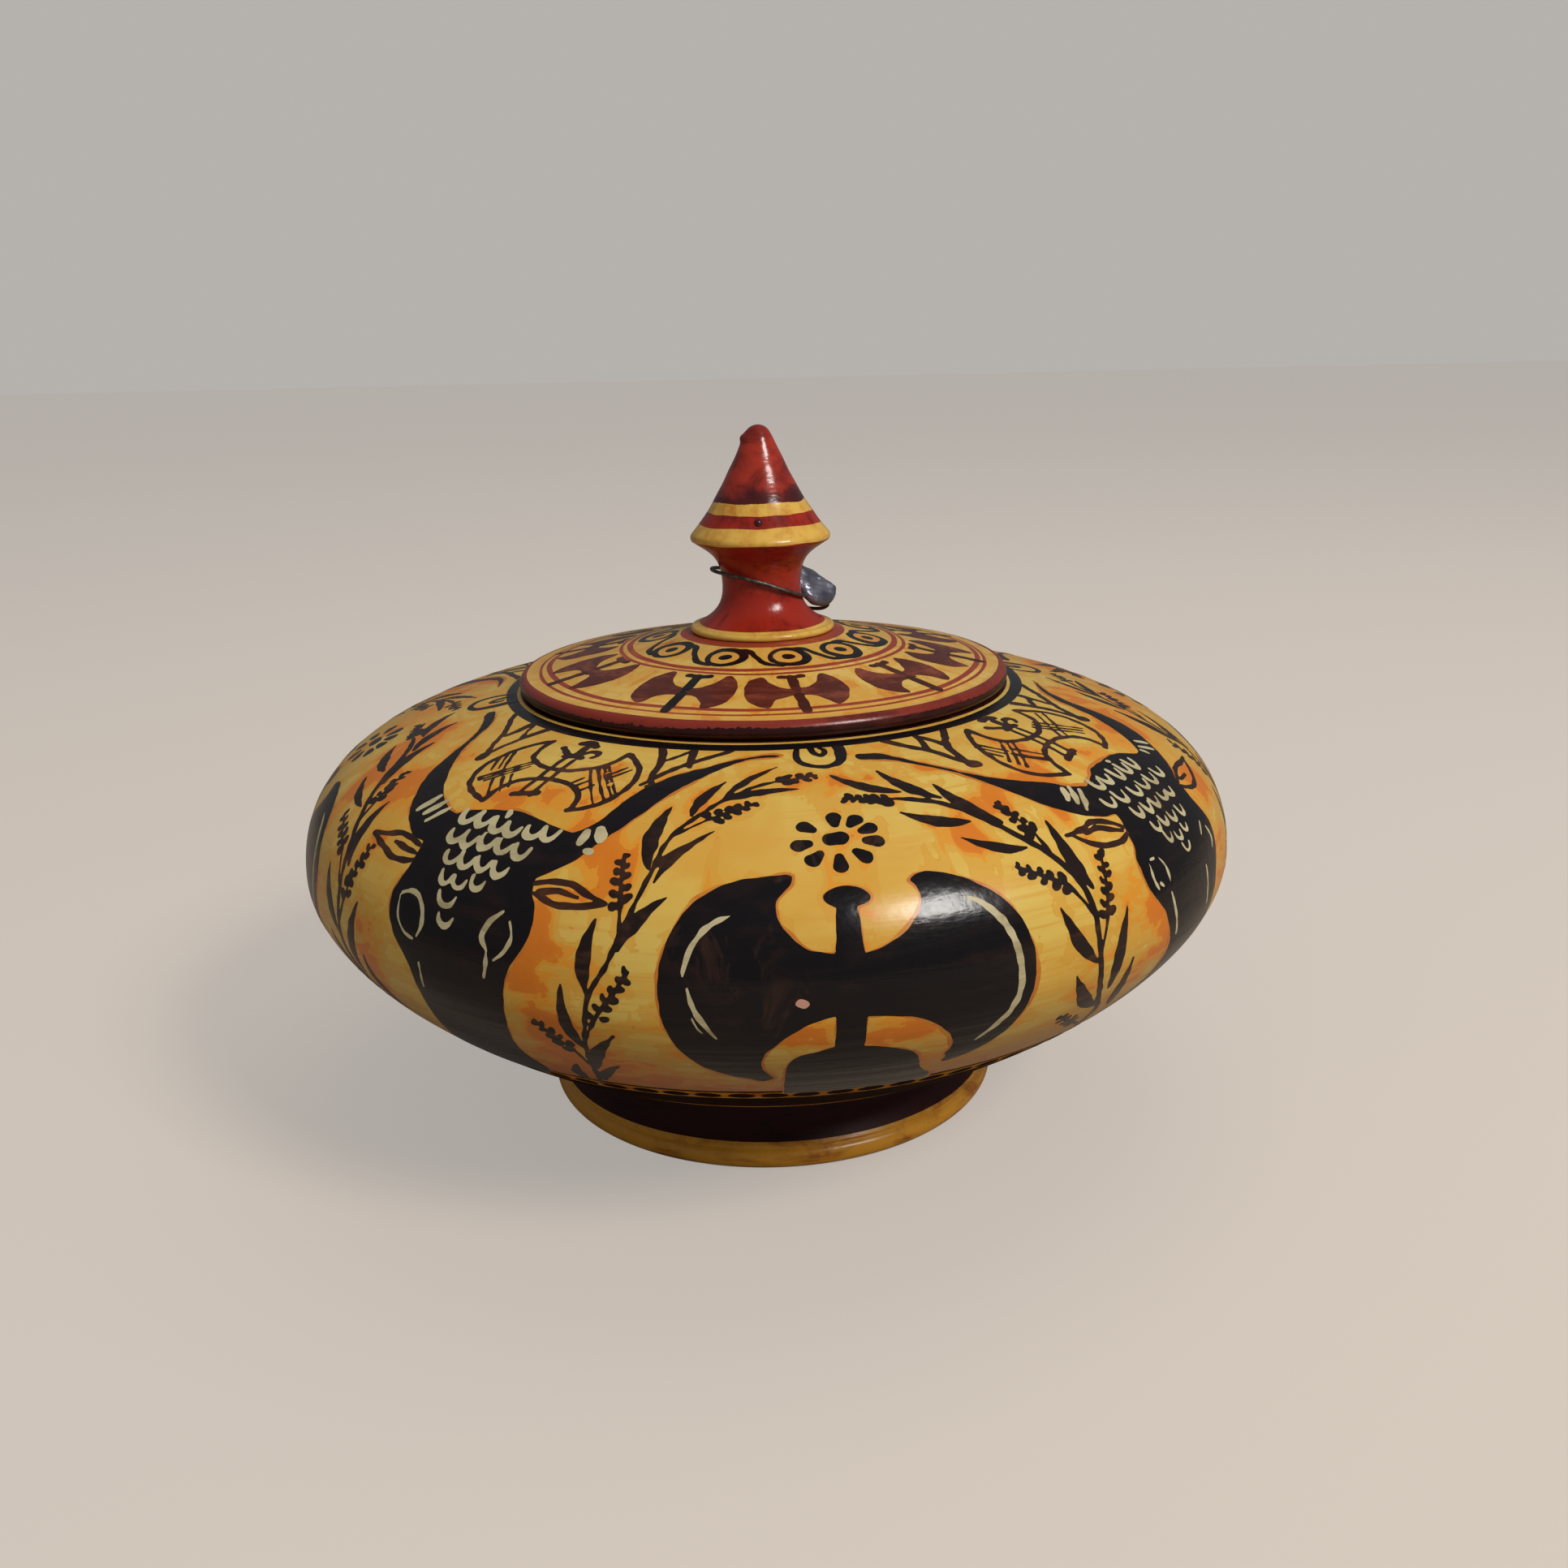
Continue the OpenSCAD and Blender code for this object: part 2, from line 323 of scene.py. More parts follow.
# %% Textures
class Finish(Nodes):
    """A material with noise, colour ramps and bumps."""
    def noise(self, scale, detail=3.0, rough=.55, stretch=(1, 1, 1), distort=0.0, place=None):
        spot = self.node("ShaderNodeMapping", {"Vector": place or self.place, "Scale": stretch})
        return self.node("ShaderNodeTexNoise", {
            "Vector": spot.outputs[0], "Scale": scale, "Detail": detail, "Roughness": rough,
            "Distortion": distort}).outputs[0]

    def streaks(self, turn, up, detail=2, rough=.5, distort=0.0):
        """Noise that changes slowly round the pot and quickly up its outline."""
        x, y, z = self.node("ShaderNodeSeparateXYZ", {0: self.place}).outputs
        radius = self.math("SQRT", self.total((x, x), (y, y)))
        from_axis = self.math("ADD", radius, 1e-5)
        around = self.node("ShaderNodeCombineXYZ", {
            0: self.math("MULTIPLY", self.math("DIVIDE", x, from_axis), turn),
            1: self.math("MULTIPLY", self.math("DIVIDE", y, from_axis), turn),
            2: self.math("MULTIPLY", self.math("ADD", z, self.math("MULTIPLY", radius, .8)), up)})
        return self.noise(1, detail, rough, distort=distort, place=around.outputs[0])

    def ramp(self, factor, stops, kind="EASE"):
        """A colour ramp; a stop with a plain number has that shade of grey."""
        node = self.node("ShaderNodeValToRGB", {"Fac": factor})
        node.color_ramp.interpolation = kind
        marks = node.color_ramp.elements
        marks.remove(marks[-1])
        for i, (place, colour) in enumerate(stops):
            mark = marks.new(place) if i else marks[0]
            mark.position = place
            mark.color = colour if isinstance(colour, list) else [colour]*3 + [1]
        return node.outputs[0]

    def mix(self, factor, a, b):
        node = self.node("ShaderNodeMix", data_type="RGBA")
        for i, value in ((0, factor), (6, a), (7, b)):
            self.put(node.inputs[i], value)
        return node.outputs[2]

    def bump(self, height, strength, distance):
        node = self.node("ShaderNodeBump", {"Height": height, "Strength": strength,
                                            "Distance": distance})
        self.put(self.shader.inputs["Normal"], node.outputs[0])


ROUGHNESS, SPECULAR, INDEX = GLOSS = (.25, .42, 1.46)


def varnish(n, rough=ROUGHNESS, spec=SPECULAR, index=INDEX):
    """Clear varnish: its gloss varies a little, the rest is the same all over."""
    n.set(Roughness=n.math("ADD", n.math("MULTIPLY", n.noise(900, 3), .1), rough - .05),
          IOR=index, Specular_IOR_Level=spec)


print("varnish: roughness, specular level and index of refraction", GLOSS)

# %% [markdown]
# ## Straw ground
# The ground is a thin straw slip, streaked by the brush. Diluted orange slip was washed over it and
# dried in pools with hard, watery edges. The strength of the wash and two noises are added up, and
# where the sum passes one of three levels, a pool starts with a dark edge. The bowl's mesh carries
# that strength at each of its points. Low on the bowl the straw is also darkened, as painted shade.

# %% Straw ground
def ground(name, pale, amber, orange, deep, wash_and_shade=.3, zones=False, gloss=GLOSS):
    n = Finish(name)
    fine = n.streaks(2.5, 1300, 4, .6)
    ridge = n.streaks(1.2, 260)
    broad = n.noise(30, 4, .55, (1, 1, 1.5), .5)
    base = lin(pale)
    for texture, start, stop, most in ((broad, .40, .68, .7), (fine, .48, .70, .7),
                                       (ridge, .46, .64, .42)):
        base = n.mix(n.ramp(texture, [(start, 0), (stop, most)]), base, lin(amber))
    if zones:
        wash_and_shade = n.node("ShaderNodeAttribute", attribute_name="wash_and_shade").outputs["Fac"]
    ragged = n.total((n.streaks(10, 210, distort=.9), 1.5), (n.streaks(45, 800, distort=.8), .4))
    level = n.math("ADD", wash_and_shade, n.math("SUBTRACT", ragged, .95))
    for start, stop, most, colour in ((.25, .36, .6, amber), (.46, .60, .75, orange),
                                      (.64, .85, .75, deep)):
        pool = [(start, 0), (start + .006, 1), (start + .02, .6), (stop, most)]
        base = n.mix(n.ramp(level, pool, "LINEAR"), base, lin(colour))
    base = n.mix(n.ramp(n.noise(380, 2, .7), [(.71, 0), (.75, .45)]), base, lin(deep))
    # Below the belly the straw is mixed towards dark brown: this is painted shade under the belly.
    if zones:
        z = n.node("ShaderNodeSeparateXYZ", {0: n.place}).outputs[2]
        low = n.node("ShaderNodeMapRange", {"Value": z, "From Min": .052, "From Max": .030,
                                            "To Min": 0.0, "To Max": .62}).outputs[0]
        base = n.mix(low, base, lin((150, 78, 8)))
    n.set(Base_Color=base)
    varnish(n, *gloss)
    n.bump(n.total((ridge, 1.6), (fine, .5), (n.noise(450, 3), .35)), .3, .00025)
    return n.mat


M = {"ground": ground("straw_slip", (212, 180, 88), (206, 150, 52), (218, 138, 34), (204, 106, 24),
                      zones=True),
     "low_ground": ground("low_straw_slip", (196, 146, 62), (184, 122, 44), (168, 92, 30),
                          (120, 56, 22), gloss=(.6, .1, 1.12)),
     "lid_ground": ground("lid_straw_slip", (216, 180, 94), (208, 154, 60), (206, 128, 40),
                          (184, 94, 30), .27)}
print("grounds:", sorted(M))

# %% [markdown]
# ## Coloured slips
# Slip is nearly even where it is thick, and shows its second colour where the brush ran dry. The
# dark slip of the figures is also worn brown in places. One function makes them all, so a slip is
# a row of: name, thick colour, thin colour, roughness, share of thin, then varnish and wear.

# %% Coloured slips
def slip(name, thick, thin, rough=.24, amount=.5, spec=SPECULAR, index=INDEX, worn=0.0):
    n = Finish(name)
    fine = n.streaks(5, 700, 4, .65)
    ridge = n.streaks(1.2, 260)
    both = n.total((fine, .4), (n.noise(60, 5, .62, (1, 1, 2), .8), .6))
    colour = n.mix(n.ramp(both, [(.47, 0), (.68, amount)]), lin(thick), lin(thin))
    if worn:
        patch = n.ramp(n.noise(34, 2, .5, distort=.6), [(.52, 0), (.66, 1)])
        rub = n.ramp(n.noise(110, 4, .7, (1, 1, .5), 1), [(.52, 0), (.66, worn)])
        colour = n.mix(n.math("MULTIPLY", patch, rub), colour, lin((74, 48, 33)))
    n.set(Base_Color=colour)
    varnish(n, rough, spec, index)
    n.bump(n.total((ridge, 2.2), (fine, .5), (n.noise(520, 2), .3)), .5, .0003)
    return n.mat


for key, *row in (
        ("low_brown", "low_brown_slip", (34, 19, 16), (62, 34, 24), .6, .6, .1, 1.12),
        ("dark", "dark_slip", (18, 15, 18), (46, 30, 25), .2, .5, .36, INDEX, .5),
        ("spray", "spray_slip", (32, 22, 20), (86, 54, 36), .24, .8, .36),
        ("brown", "brown_line_slip", (46, 27, 22), (94, 54, 36), .28, .8, .35),
        ("cream", "cream_slip", (190, 178, 138), (140, 126, 88), .42, .8, .3),
        ("halo", "halo_wash", (190, 112, 38), (206, 146, 54), .28, 1),
        ("red", "red_slip", (154, 40, 26), (92, 22, 18), .22, 1),
        ("rim_red", "rim_red_slip", (128, 46, 33), (90, 28, 24), .26, 1, .38),
        ("haft", "haft_slip", (64, 28, 22), (104, 50, 36), .3, .9, .3),
        ("rim_dark", "rim_dark_slip", (44, 18, 18), (84, 32, 26), .3, .8, .3),
        ("line_red", "thin_red_slip", (146, 54, 36), (170, 84, 48), .28, .8, .35),
        ("foot_dark", "foot_slip", (52, 22, 22), (28, 14, 16), .44, .8, .14),
        ("axe_red", "axe_slip", (82, 34, 26), (138, 68, 46), .28, 1, .32),
        ("yellow", "yellow_slip", (214, 172, 80), (182, 114, 36), .22, .9),
        ("lip", "foot_lip_slip", (206, 144, 42), (148, 82, 20), .26, 1),
        ("orange", "orange_dot_slip", (210, 152, 62), (198, 128, 42), .28, .9),
        ("pink", "bare_chip", (196, 146, 124), (180, 130, 108), .6, .5)):
    M[key] = slip(*row)
print("materials:", len(M))

# %% [markdown]
# ## Dressing a piece
# Each piece gets its materials in the order of its bands, rides on one body of the frame, and may
# stand in for a solid of the frame, which is then hidden.

# %% Dressing a piece
def dress(o, materials, body, slot, *nodes):
    for key in materials:
        o.data.materials.append(M[key])
    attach(o, body)
    if nodes:
        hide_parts(*nodes)


# %% [markdown]
# ## A sheet to paint on
# A painted figure is a thin, slightly raised layer of slip. As part of a texture its edges would
# blur close up, so it is made as a mesh. Each colour is drawn on an unrolled sheet, as distances to
# the edge of the nearest mark, above zero inside it. Marks that touch then join by themselves.

# %% Sheet
class Grid:
    """u runs across and v up; wide(v) is how many millimetres one u is at height v, and reach is
    how far round a mark its distances are worked out."""
    def __init__(self, u0, u1, v0, v1, du, dv, wide, reach=5.0):
        self.u = np.arange(u0, u1 + du/2, du)
        self.v = np.arange(v0, v1 + dv/2, dv)
        self.du, self.dv, self.wide, self.reach = du, dv, wide, float(reach)
        self.k = wide(self.v)
        self.d = np.full((len(self.v), len(self.u)), -self.reach)

    def window(self, a, b, pad):
        """The part of the sheet round two points, as slices, or None off the sheet."""
        v0, v1 = min(a[1], b[1]) - pad, max(a[1], b[1]) + pad
        i0 = max(0, int((v0 - self.v[0])/self.dv))
        i1 = min(len(self.v), int((v1 - self.v[0])/self.dv) + 2)
        if i1 <= i0:
            return None
        k = self.k[i0:i1].min()
        u0, u1 = min(a[0], b[0]) - pad/k, max(a[0], b[0]) + pad/k
        j0 = max(0, int((u0 - self.u[0])/self.du))
        j1 = min(len(self.u), int((u1 - self.u[0])/self.du) + 2)
        return None if j1 <= j0 else (slice(i0, i1), slice(j0, j1))

    def near(self, window, a, b):
        """Distances from a window's points to a line from a to b, and the share along it."""
        k = self.k[window[0]][:, None]
        x, y = (self.u[window[1]][None] - a[0])*k, (self.v[window[0]] - a[1])[:, None]
        dx, dy = (b[0] - a[0])*k, b[1] - a[1]
        t = np.clip((x*dx + y*dy)/np.maximum(dx*dx + dy*dy, 1e-9), 0, 1)
        return np.hypot(x - t*dx, y - t*dy), t

    def area(self):
        """The painted area in square millimetres."""
        return float(((self.d > 0).sum(1)*self.k).sum()*self.du*self.dv)


print("points of a 10 mm sheet:", Grid(0, 10, 0, 10, 1, 1, np.ones_like).d.shape)

# %% [markdown]
# ### Brush strokes
# A loaded brush leaves a line that swells and tapers. A stroke is a smooth line through a few
# points, each with its own width, and the width runs along the line together with its place.

# %% Brush strokes
def spline(points, closed=False, step=0.5):
    """A smooth line through points, with a point about every step; extra columns ride along."""
    p = np.array(points, float)
    n = len(p)
    out = []
    for i in range(n if closed else n - 1):
        if closed:
            a, b, c, d = p[i-1], p[i], p[(i+1) % n], p[(i+2) % n]
        else:
            a, b, c, d = p[max(i-1, 0)], p[i], p[i+1], p[min(i+2, n-1)]
        k = max(2, int(np.linalg.norm((c-b)[:2])/step) + 1)
        t = np.linspace(0, 1, k, endpoint=False)[:, None]
        out.append(.5*(2*b + (c-a)*t + (2*a-5*b+4*c-d)*t*t + (3*b-a-3*c+d)*t**3))
    if not closed:
        out.append(p[-1:])
    return np.vstack(out)


class Strokes(Grid):
    def stroke(self, points, width, closed=False, ends=(1, 1)):
        """A brush stroke: width is one value or one per point; ends scale it at its tips."""
        p = np.array(points, float)
        w = np.broadcast_to(np.array(width, float), (len(p),)).copy()
        if not closed:
            w[0] *= ends[0]
            w[-1] *= ends[1]
        line = spline(np.column_stack([p, w]), closed, .9)
        if closed:
            line = np.vstack([line, line[:1]])
        for a, b in zip(line[:-1], line[1:]):
            window = self.window(a, b, self.reach)
            if window:
                d, t = self.near(window, a, b)
                half = .5*np.maximum(a[2] + (b[2] - a[2])*t, .05)
                self.d[window] = np.maximum(self.d[window], half - d)


print("points on a smooth line of 10 mm:", len(spline([(0, 0), (10, 0)])))

# %% [markdown]
# ### Filled shapes
# The axes and the bulls' heads were outlined and filled. A shape is a closed line with a few sharp
# corners. A row of the sheet enters or leaves it at each crossing, so an odd count means inside.

# %% Filled shapes
class Shapes(Strokes):
    def shape(self, points, corners=()):
        """A filled outline through points; corners lists the points that stay sharp."""
        p = np.array(points, float)
        line = spline(p, True, .8)
        if corners:
            sides = zip(corners, corners[1:] + (corners[0] + len(p),))
            line = np.vstack([spline(p[[i % len(p) for i in range(a, b + 1)]], False, .8)[:-1]
                              for a, b in sides])
        window = self.window(line.min(0), line.max(0), self.reach)
        i0, j0 = window[0].start, window[1].start
        d = np.full(self.d[window].shape, self.reach)
        crossings = np.zeros((d.shape[0], d.shape[1] + 1))
        for a, b in zip(line, np.roll(line, -1, 0)):
            w = self.window(a, b, self.reach)
            if w:
                part = (slice(w[0].start - i0, w[0].stop - i0), slice(w[1].start - j0, w[1].stop - j0))
                d[part] = np.minimum(d[part], self.near(w, a, b)[0])
            low, high = sorted((a[1], b[1]))
            rows = np.arange(max(i0, int(np.ceil((low - self.v[0])/self.dv))),
                             min(window[0].stop, int(np.ceil((high - self.v[0])/self.dv))))
            if len(rows) and high > low:
                u = a[0] + (self.v[rows] - a[1])/(b[1] - a[1])*(b[0] - a[0])
                column = np.ceil((u - self.u[0])/self.du).astype(int) - j0
                np.add.at(crossings, (rows - i0, np.clip(column, 0, d.shape[1])), 1)
        inside = np.cumsum(crossings, 1)[:, :-1] % 2 == 1
        self.d[window] = np.maximum(self.d[window], np.where(inside, d, -d))


square = Shapes(0, 10, 0, 10, .25, .25, np.ones_like)
square.shape([(2, 2), (8, 2), (8, 8), (2, 8)], (0, 1, 2, 3))
print("a square with sides of 6 mm covers %.1f square mm" % square.area())

# %% [markdown]
# ### Leaves and berries
# An olive leaf is one press of the brush: it starts thin, swells and lifts off in a point, a little
# bent. The berries are an ear of dabs in two loose rows, set down quickly, so no two are alike.

# %% Leaves and berries
class Sprigs(Shapes):
    def along(self, a, b):
        """A twig's vector in millimetres, and the width of one u there."""
        k = self.wide(np.array([(a[1] + b[1])/2]))[0]
        return (b - a)*[k, 1], k

    def leaf(self, a, b, width):
        bend = .08
        a, b = np.array(a, float), np.array(b, float)
        d, k = self.along(a, b)
        side = np.array([-d[1]/k, d[0]])*bend
        middle = [(0, .25, 0), (.2, .75, .7), (.45, 1, 1), (.75, .62, .7), (1, .12, 0)]
        self.stroke([a + (b - a)*t + side*c for t, _, c in middle], [width*w for _, w, _ in middle])

    def berries(self, a, b, count, seed):
        size = 1.8
        g = np.random.default_rng(seed)
        a, b = np.array(a, float), np.array(b, float)
        d, k = self.along(a, b)
        d /= np.linalg.norm(d)
        side = np.array([-d[1], d[0]])
        self.stroke([a, (a + b)/2, b], .8)
        for i in range(count + 2):
            t = (i + .35 + g.uniform(-.2, .2))/(count + 1.6)
            out = (-1)**i*(1.15 - .55*t)*g.uniform(.65, 1.15)
            way = d*g.uniform(.2, .9) + side*np.sign(out)*g.uniform(.3, .9)
            start = a + (b - a)*t + side*out/[k, 1]
            tip = start + way*g.uniform(.35, .8)/[k, 1]
            fat = size*g.uniform(.7, 1.1)*(1.05 - .3*t)
            self.stroke([start, tip], [fat, fat*.8])


single = Sprigs(0, 10, 0, 10, .25, .25, np.ones_like)
single.leaf((1, 1), (9, 9), 2)
print("one leaf covers %.1f square mm" % single.area())

# %% [markdown]
# ### Uneven edges
# A brush never leaves a ruled edge. The sheet holds distances to the edges, so waves added to them
# let every edge in and out a little. Each wave has its own direction, length and start.

# %% Uneven edges
class Uneven(Sprigs):
    def wobble(self, size, seed, scale=(1.2, 2.6)):
        """Uneven edges, as a brush leaves them."""
        g = np.random.default_rng(seed)
        x, y = self.u[None]*self.k.mean(), self.v[:, None]
        waves = 0
        for _ in range(14):
            f, a = g.uniform(*scale), g.uniform(0, 6.28)
            waves = waves + np.sin(x*f*math.cos(a) + y*f*math.sin(a) + g.uniform(0, 6.28))
        self.d = self.d + size*waves/3.7

    def value(self, u, v):
        """The distance at any place on the sheet."""
        x = np.clip((u - self.u[0])/self.du, 0, len(self.u) - 1.001)
        y = np.clip((v - self.v[0])/self.dv, 0, len(self.v) - 1.001)
        j, i = x.astype(int), y.astype(int)
        x, y = x - j, y - i
        d = self.d
        return (d[i, j]*(1-x) + d[i, j+1]*x)*(1-y) + (d[i+1, j]*(1-x) + d[i+1, j+1]*x)*y


uneven = Uneven(0, 10, 0, 10, .25, .25, np.ones_like)
uneven.stroke([(1, 5), (9, 5)], 2)
uneven.wobble(.1, 1)
strays = uneven.value(np.arange(3, 8), np.full(5, 6))
print("along its edge a stroke strays by, in mm:", strays.round(2).tolist())

# %% [markdown]
# ### Lines along the edges
# The line where the distance is zero is followed from cell to cell of the sheet. This is the
# marching squares method: the signs at a cell's four corners say which of its sides the line
# enters and leaves by.

# %% Lines along the edges
class Edges(Uneven):
    def links(self, d):
        """For each grid line that an edge crosses, the next one that it crosses. A crossing is
        (0, i, j) to the right of a point and (1, i, j) above it."""
        s = d > 0
        code = s[:-1, :-1]*1 + s[:-1, 1:]*2 + s[1:, 1:]*4 + s[1:, :-1]*8
        ways = {1: [(3, 0)], 2: [(0, 1)], 3: [(3, 1)], 4: [(1, 2)], 5: [(3, 2), (1, 0)],
                6: [(0, 2)], 7: [(3, 2)], 8: [(2, 3)], 9: [(2, 0)], 10: [(0, 3), (2, 1)],
                11: [(2, 1)], 12: [(1, 3)], 13: [(1, 0)], 14: [(0, 3)]}
        link = {}
        for i, j in zip(*(x.tolist() for x in np.nonzero((code > 0) & (code < 15)))):
            sides = ((0, i, j), (1, i, j + 1), (0, i + 1, j), (1, i, j))
            for a, b in ways[int(code[i, j])]:
                link[sides[a]] = sides[b]
        return link

    def loops(self, step):
        """Closed lines where the distance is zero, with a point about every step."""
        shortest = 1.0
        d = self.d.copy()
        d[:, [0, -1]] = d[[0, -1], :] = -1
        link = self.links(d)
        out = []
        while link:
            at = next(reversed(link))
            line = []
            while at in link:
                up, i, j = at
                t = d[i, j]/(d[i, j] - d[i + up, j + 1 - up])
                line.append((self.u[j] + t*self.du*(1 - up), self.v[i] + t*self.dv*up))
                at = link.pop(at)
            line = np.array(line + line[:1])
            size = np.hypot(np.diff(line[:, 0])*self.wide(line[:-1, 1]), np.diff(line[:, 1]))
            s = np.r_[0, np.cumsum(size)]
            if s[-1] >= shortest:
                t = np.linspace(0, s[-1], max(6, int(s[-1]/step)), endpoint=False)
                out.append(np.stack([np.interp(t, s, line[:, 0]), np.interp(t, s, line[:, 1])], 1))
        return out


dot = Edges(0, 10, 0, 10, .25, .25, np.ones_like)
dot.stroke([(4, 5), (6, 5)], 3)
print("points on the edge of one dab:", [len(line) for line in dot.loops(.4)])

# %% [markdown]
# ### From the sheet to the surface
# The edge lines and a grid of points between them are joined into triangles, all outside the marks
# are dropped, and the rest is laid on the surface. The edge lies low and the middle higher, so that
# the layer has a rounded edge. A Shrinkwrap modifier could lay it down too, but less exactly.

# %% Skin
class Sheet(Edges):
    def skin(self, name, place, low=.025, high=.07, step=.42, grid=1.3):
        """Cut the marks out of the sheet; place(u, v, lift) lays their points on the surface."""
        km = self.k.mean()
        pts, edges = [], []
        for line in self.loops(step):
            n0, n = len(pts), len(line)
            pts += [(u*km, v) for u, v in line]
            edges += [(n0 + i, n0 + (i + 1) % n) for i in range(n)]
        rim = len(pts)
        rows = np.arange(self.v[0], self.v[-1], grid*.87)
        u, v = np.meshgrid(np.arange(self.u[0], self.u[-1], grid/km), rows)
        u = u + (np.arange(len(rows)) % 2)[:, None]*grid/km/2
        ok = self.value(u, v) > .5*grid
        pts += [(x*km, y) for x, y in zip(u[ok], v[ok])]
        found = delaunay_2d_cdt([Vector(p) for p in pts], edges, [], 0, 1e-5)
        flat, faces, origins = found[0], np.array(found[2]), found[3]
        p = np.array([(x/km, y) for x, y in flat])
        middle = p[faces].mean(1)
        faces = faces[self.value(middle[:, 0], middle[:, 1]) > 0]
        a, b = p[faces[:, 1]] - p[faces[:, 0]], p[faces[:, 2]] - p[faces[:, 0]]
        clockwise = a[:, 0]*b[:, 1] < a[:, 1]*b[:, 0]
        faces[clockwise] = faces[clockwise][:, ::-1]
        slope = .5
        rise = np.clip(self.value(p[:, 0], p[:, 1])/slope, 0, 1)
        on_edge = np.array([not own or any(o < rim for o in own) for own in origins])
        lift = low + (high - low)*rise*~on_edge
        used = np.unique(faces)
        new = np.full(len(p), -1)
        new[used] = np.arange(len(used))
        print(name, "triangles", len(faces), "edge points", rim)
        return mesh_object(name, place(p[used, 0], p[used, 1], lift[used]), new[faces], recalc=False)


print("skins can be cut at", Sheet.skin.__defaults__, "for low, high, step and grid")

# %% [markdown]
# ## The frieze's sheets
# The frieze has four bulls' heads and four double axes, each flanked by olive sprays. Half of it is
# drawn, in degrees round from the front and millimetres up the wall, and the other half
# repeats it. Each colour has its own sheet, because each is a layer painted over the last.

# %% Sheets for the frieze
def on_wall(u, v, lift):
    """Degrees round from the front and millimetres up the wall, to a point in metres."""
    r = np.interp(v, WALL_S, WALL[:, 0]) + lift*np.interp(v, WALL_S, WALL_OUT[:, 0])
    z = np.interp(v, WALL_S, WALL[:, 1]) + lift*np.interp(v, WALL_S, WALL_OUT[:, 1])
    a = np.radians(u)
    return np.stack([r*np.sin(a), -r*np.cos(a), z], -1)*MM


def mm_per_degree(v):
    return np.interp(v, WALL_S, WALL[:, 0])*math.pi/180


def shifted(points, du, dv=0.0):
    return [(p[0] + du, p[1] + dv) for p in points]


ink, sprays, thin, cream, chip, halo = [Sheet(-112, 88, 40, 136.5, .16, .25, mm_per_degree)
                                        for _ in range(6)]
AXES_AT = ((0, 0), (-89, 3))
print("points on one sheet:", ink.d.size)

# %% [markdown]
# ## Double axes
# The double axe stands on a stepped base, its two blades like open wings. It is one closed shape
# in dark slip, with streaks of light cream along its edges and one small chip in the varnish. Its
# points are listed. Each further axe shifts them a little, as no two were painted alike.

# %% Double axes
AXE = [
    (6.1, 83.2), (5, 83.3), (3.4, 84.2), (1.8, 86.6), (.8, 89), (.6, 91.4), (1.2, 93.2), (2.2, 95),
    (2.4, 96.5), (1.7, 97), (-.2, 96.7), (-2.8, 96.2), (-5.2, 94.8), (-7.6, 92), (-9.3, 88),
    (-10.3, 83.5), (-10.7, 79.5), (-10.6, 74), (-10, 69.5), (-8.8, 64.5), (-6.9, 60), (-4.5, 57),
    (-2.4, 55.2), (-1.1, 54), (.1, 55.5), (-.4, 57), (-1, 59), (-1.2, 61.6), (-.8, 64.4), (0, 66.4),
    (1.2, 68.5), (2.7, 70.5), (4.1, 71.8), (6, 72.6), (6, 65.7), (5, 65.2), (4, 64.5), (2.7, 63.7),
    (1.7, 62), (1.3, 59.5), (1.2, 56), (1.1, 51), (1.2, 45.5), (18.4, 45.5), (18.2, 49.3),
    (17.1, 51.7), (16, 54.8), (15.5, 57.5), (15, 60), (14.2, 61.6), (12.6, 63.3), (10.6, 64.7),
    (8.9, 65.4), (8.9, 72.2), (10.1, 71.8), (11.9, 71.5), (14, 70.5), (16, 68.5), (17.4, 66),
    (18.3, 63.3), (18.5, 61), (18.2, 58.5), (18.6, 57), (18.3, 55.5), (18.9, 55), (20.5, 55.8),
    (22.5, 58.2), (24.2, 61.6), (25.4, 65.7), (26.3, 71.2), (26.6, 76.7), (26.3, 80.8), (25.4, 85),
    (23.9, 88.7), (21.9, 91.7), (19.5, 94), (17.1, 95.4), (15.4, 95.2), (14.5, 94.1), (14.9, 93.4),
    (15.3, 91.7), (15.1, 89.7), (14.3, 87.6), (12.6, 85.1), (10.6, 83.5), (8.9, 82.8), (8.7, 90.5),
    (9.7, 91), (10.2, 92.1), (9.5, 93.4), (8.2, 94.3), (6.6, 94.1), (5.5, 93.1), (5.4, 92.1),
    (5.8, 91.3), (6.5, 90.5)]
AXE_CORNERS = (0, 8, 24, 33, 34, 42, 43, 52, 53, 63, 78, 85, 86, 95)
AXE_LIGHTS = [
    ([(-3.5, 90), (-5.5, 88.6), (-7.2, 85.6), (-8.2, 81.5), (-8.3, 79.6)], .9),
    ([(-7.9, 78), (-7.4, 74.5), (-6.3, 71.2), (-5.3, 68.6)], .9),
    ([(-7.6, 73), (-7, 70.6), (-6.4, 69.6)], .6),
    ([(20.2, 89.8), (22.2, 87.4), (23.8, 83.5), (24.7, 78.5), (24.8, 72.5), (23.9, 68), (22.6, 65),
     (21, 61.8)], 1.3)]
CHIP = [(2.1, 75.1), (2.5, 76), (3.1, 75.8), (3.55, 75.1), (3.1, 74.3), (2.6, 74.5)]


def axe(du, seed):
    """A double axe, du degrees round; seed 0 is the one drawn."""
    g = np.random.default_rng(seed)
    p = np.array(AXE) + g.normal(0, .12, (len(AXE), 2))*(seed > 0)
    ink.shape(shifted(p, du), AXE_CORNERS)
    for line, width in AXE_LIGHTS:
        cream.stroke(shifted(line, du), width, ends=(.3, .3))
    chip.shape(shifted(CHIP, du))


for du, seed in AXES_AT:
    axe(du, seed)
print("double axes:", len(AXES_AT), "with", len(AXE), "points each")

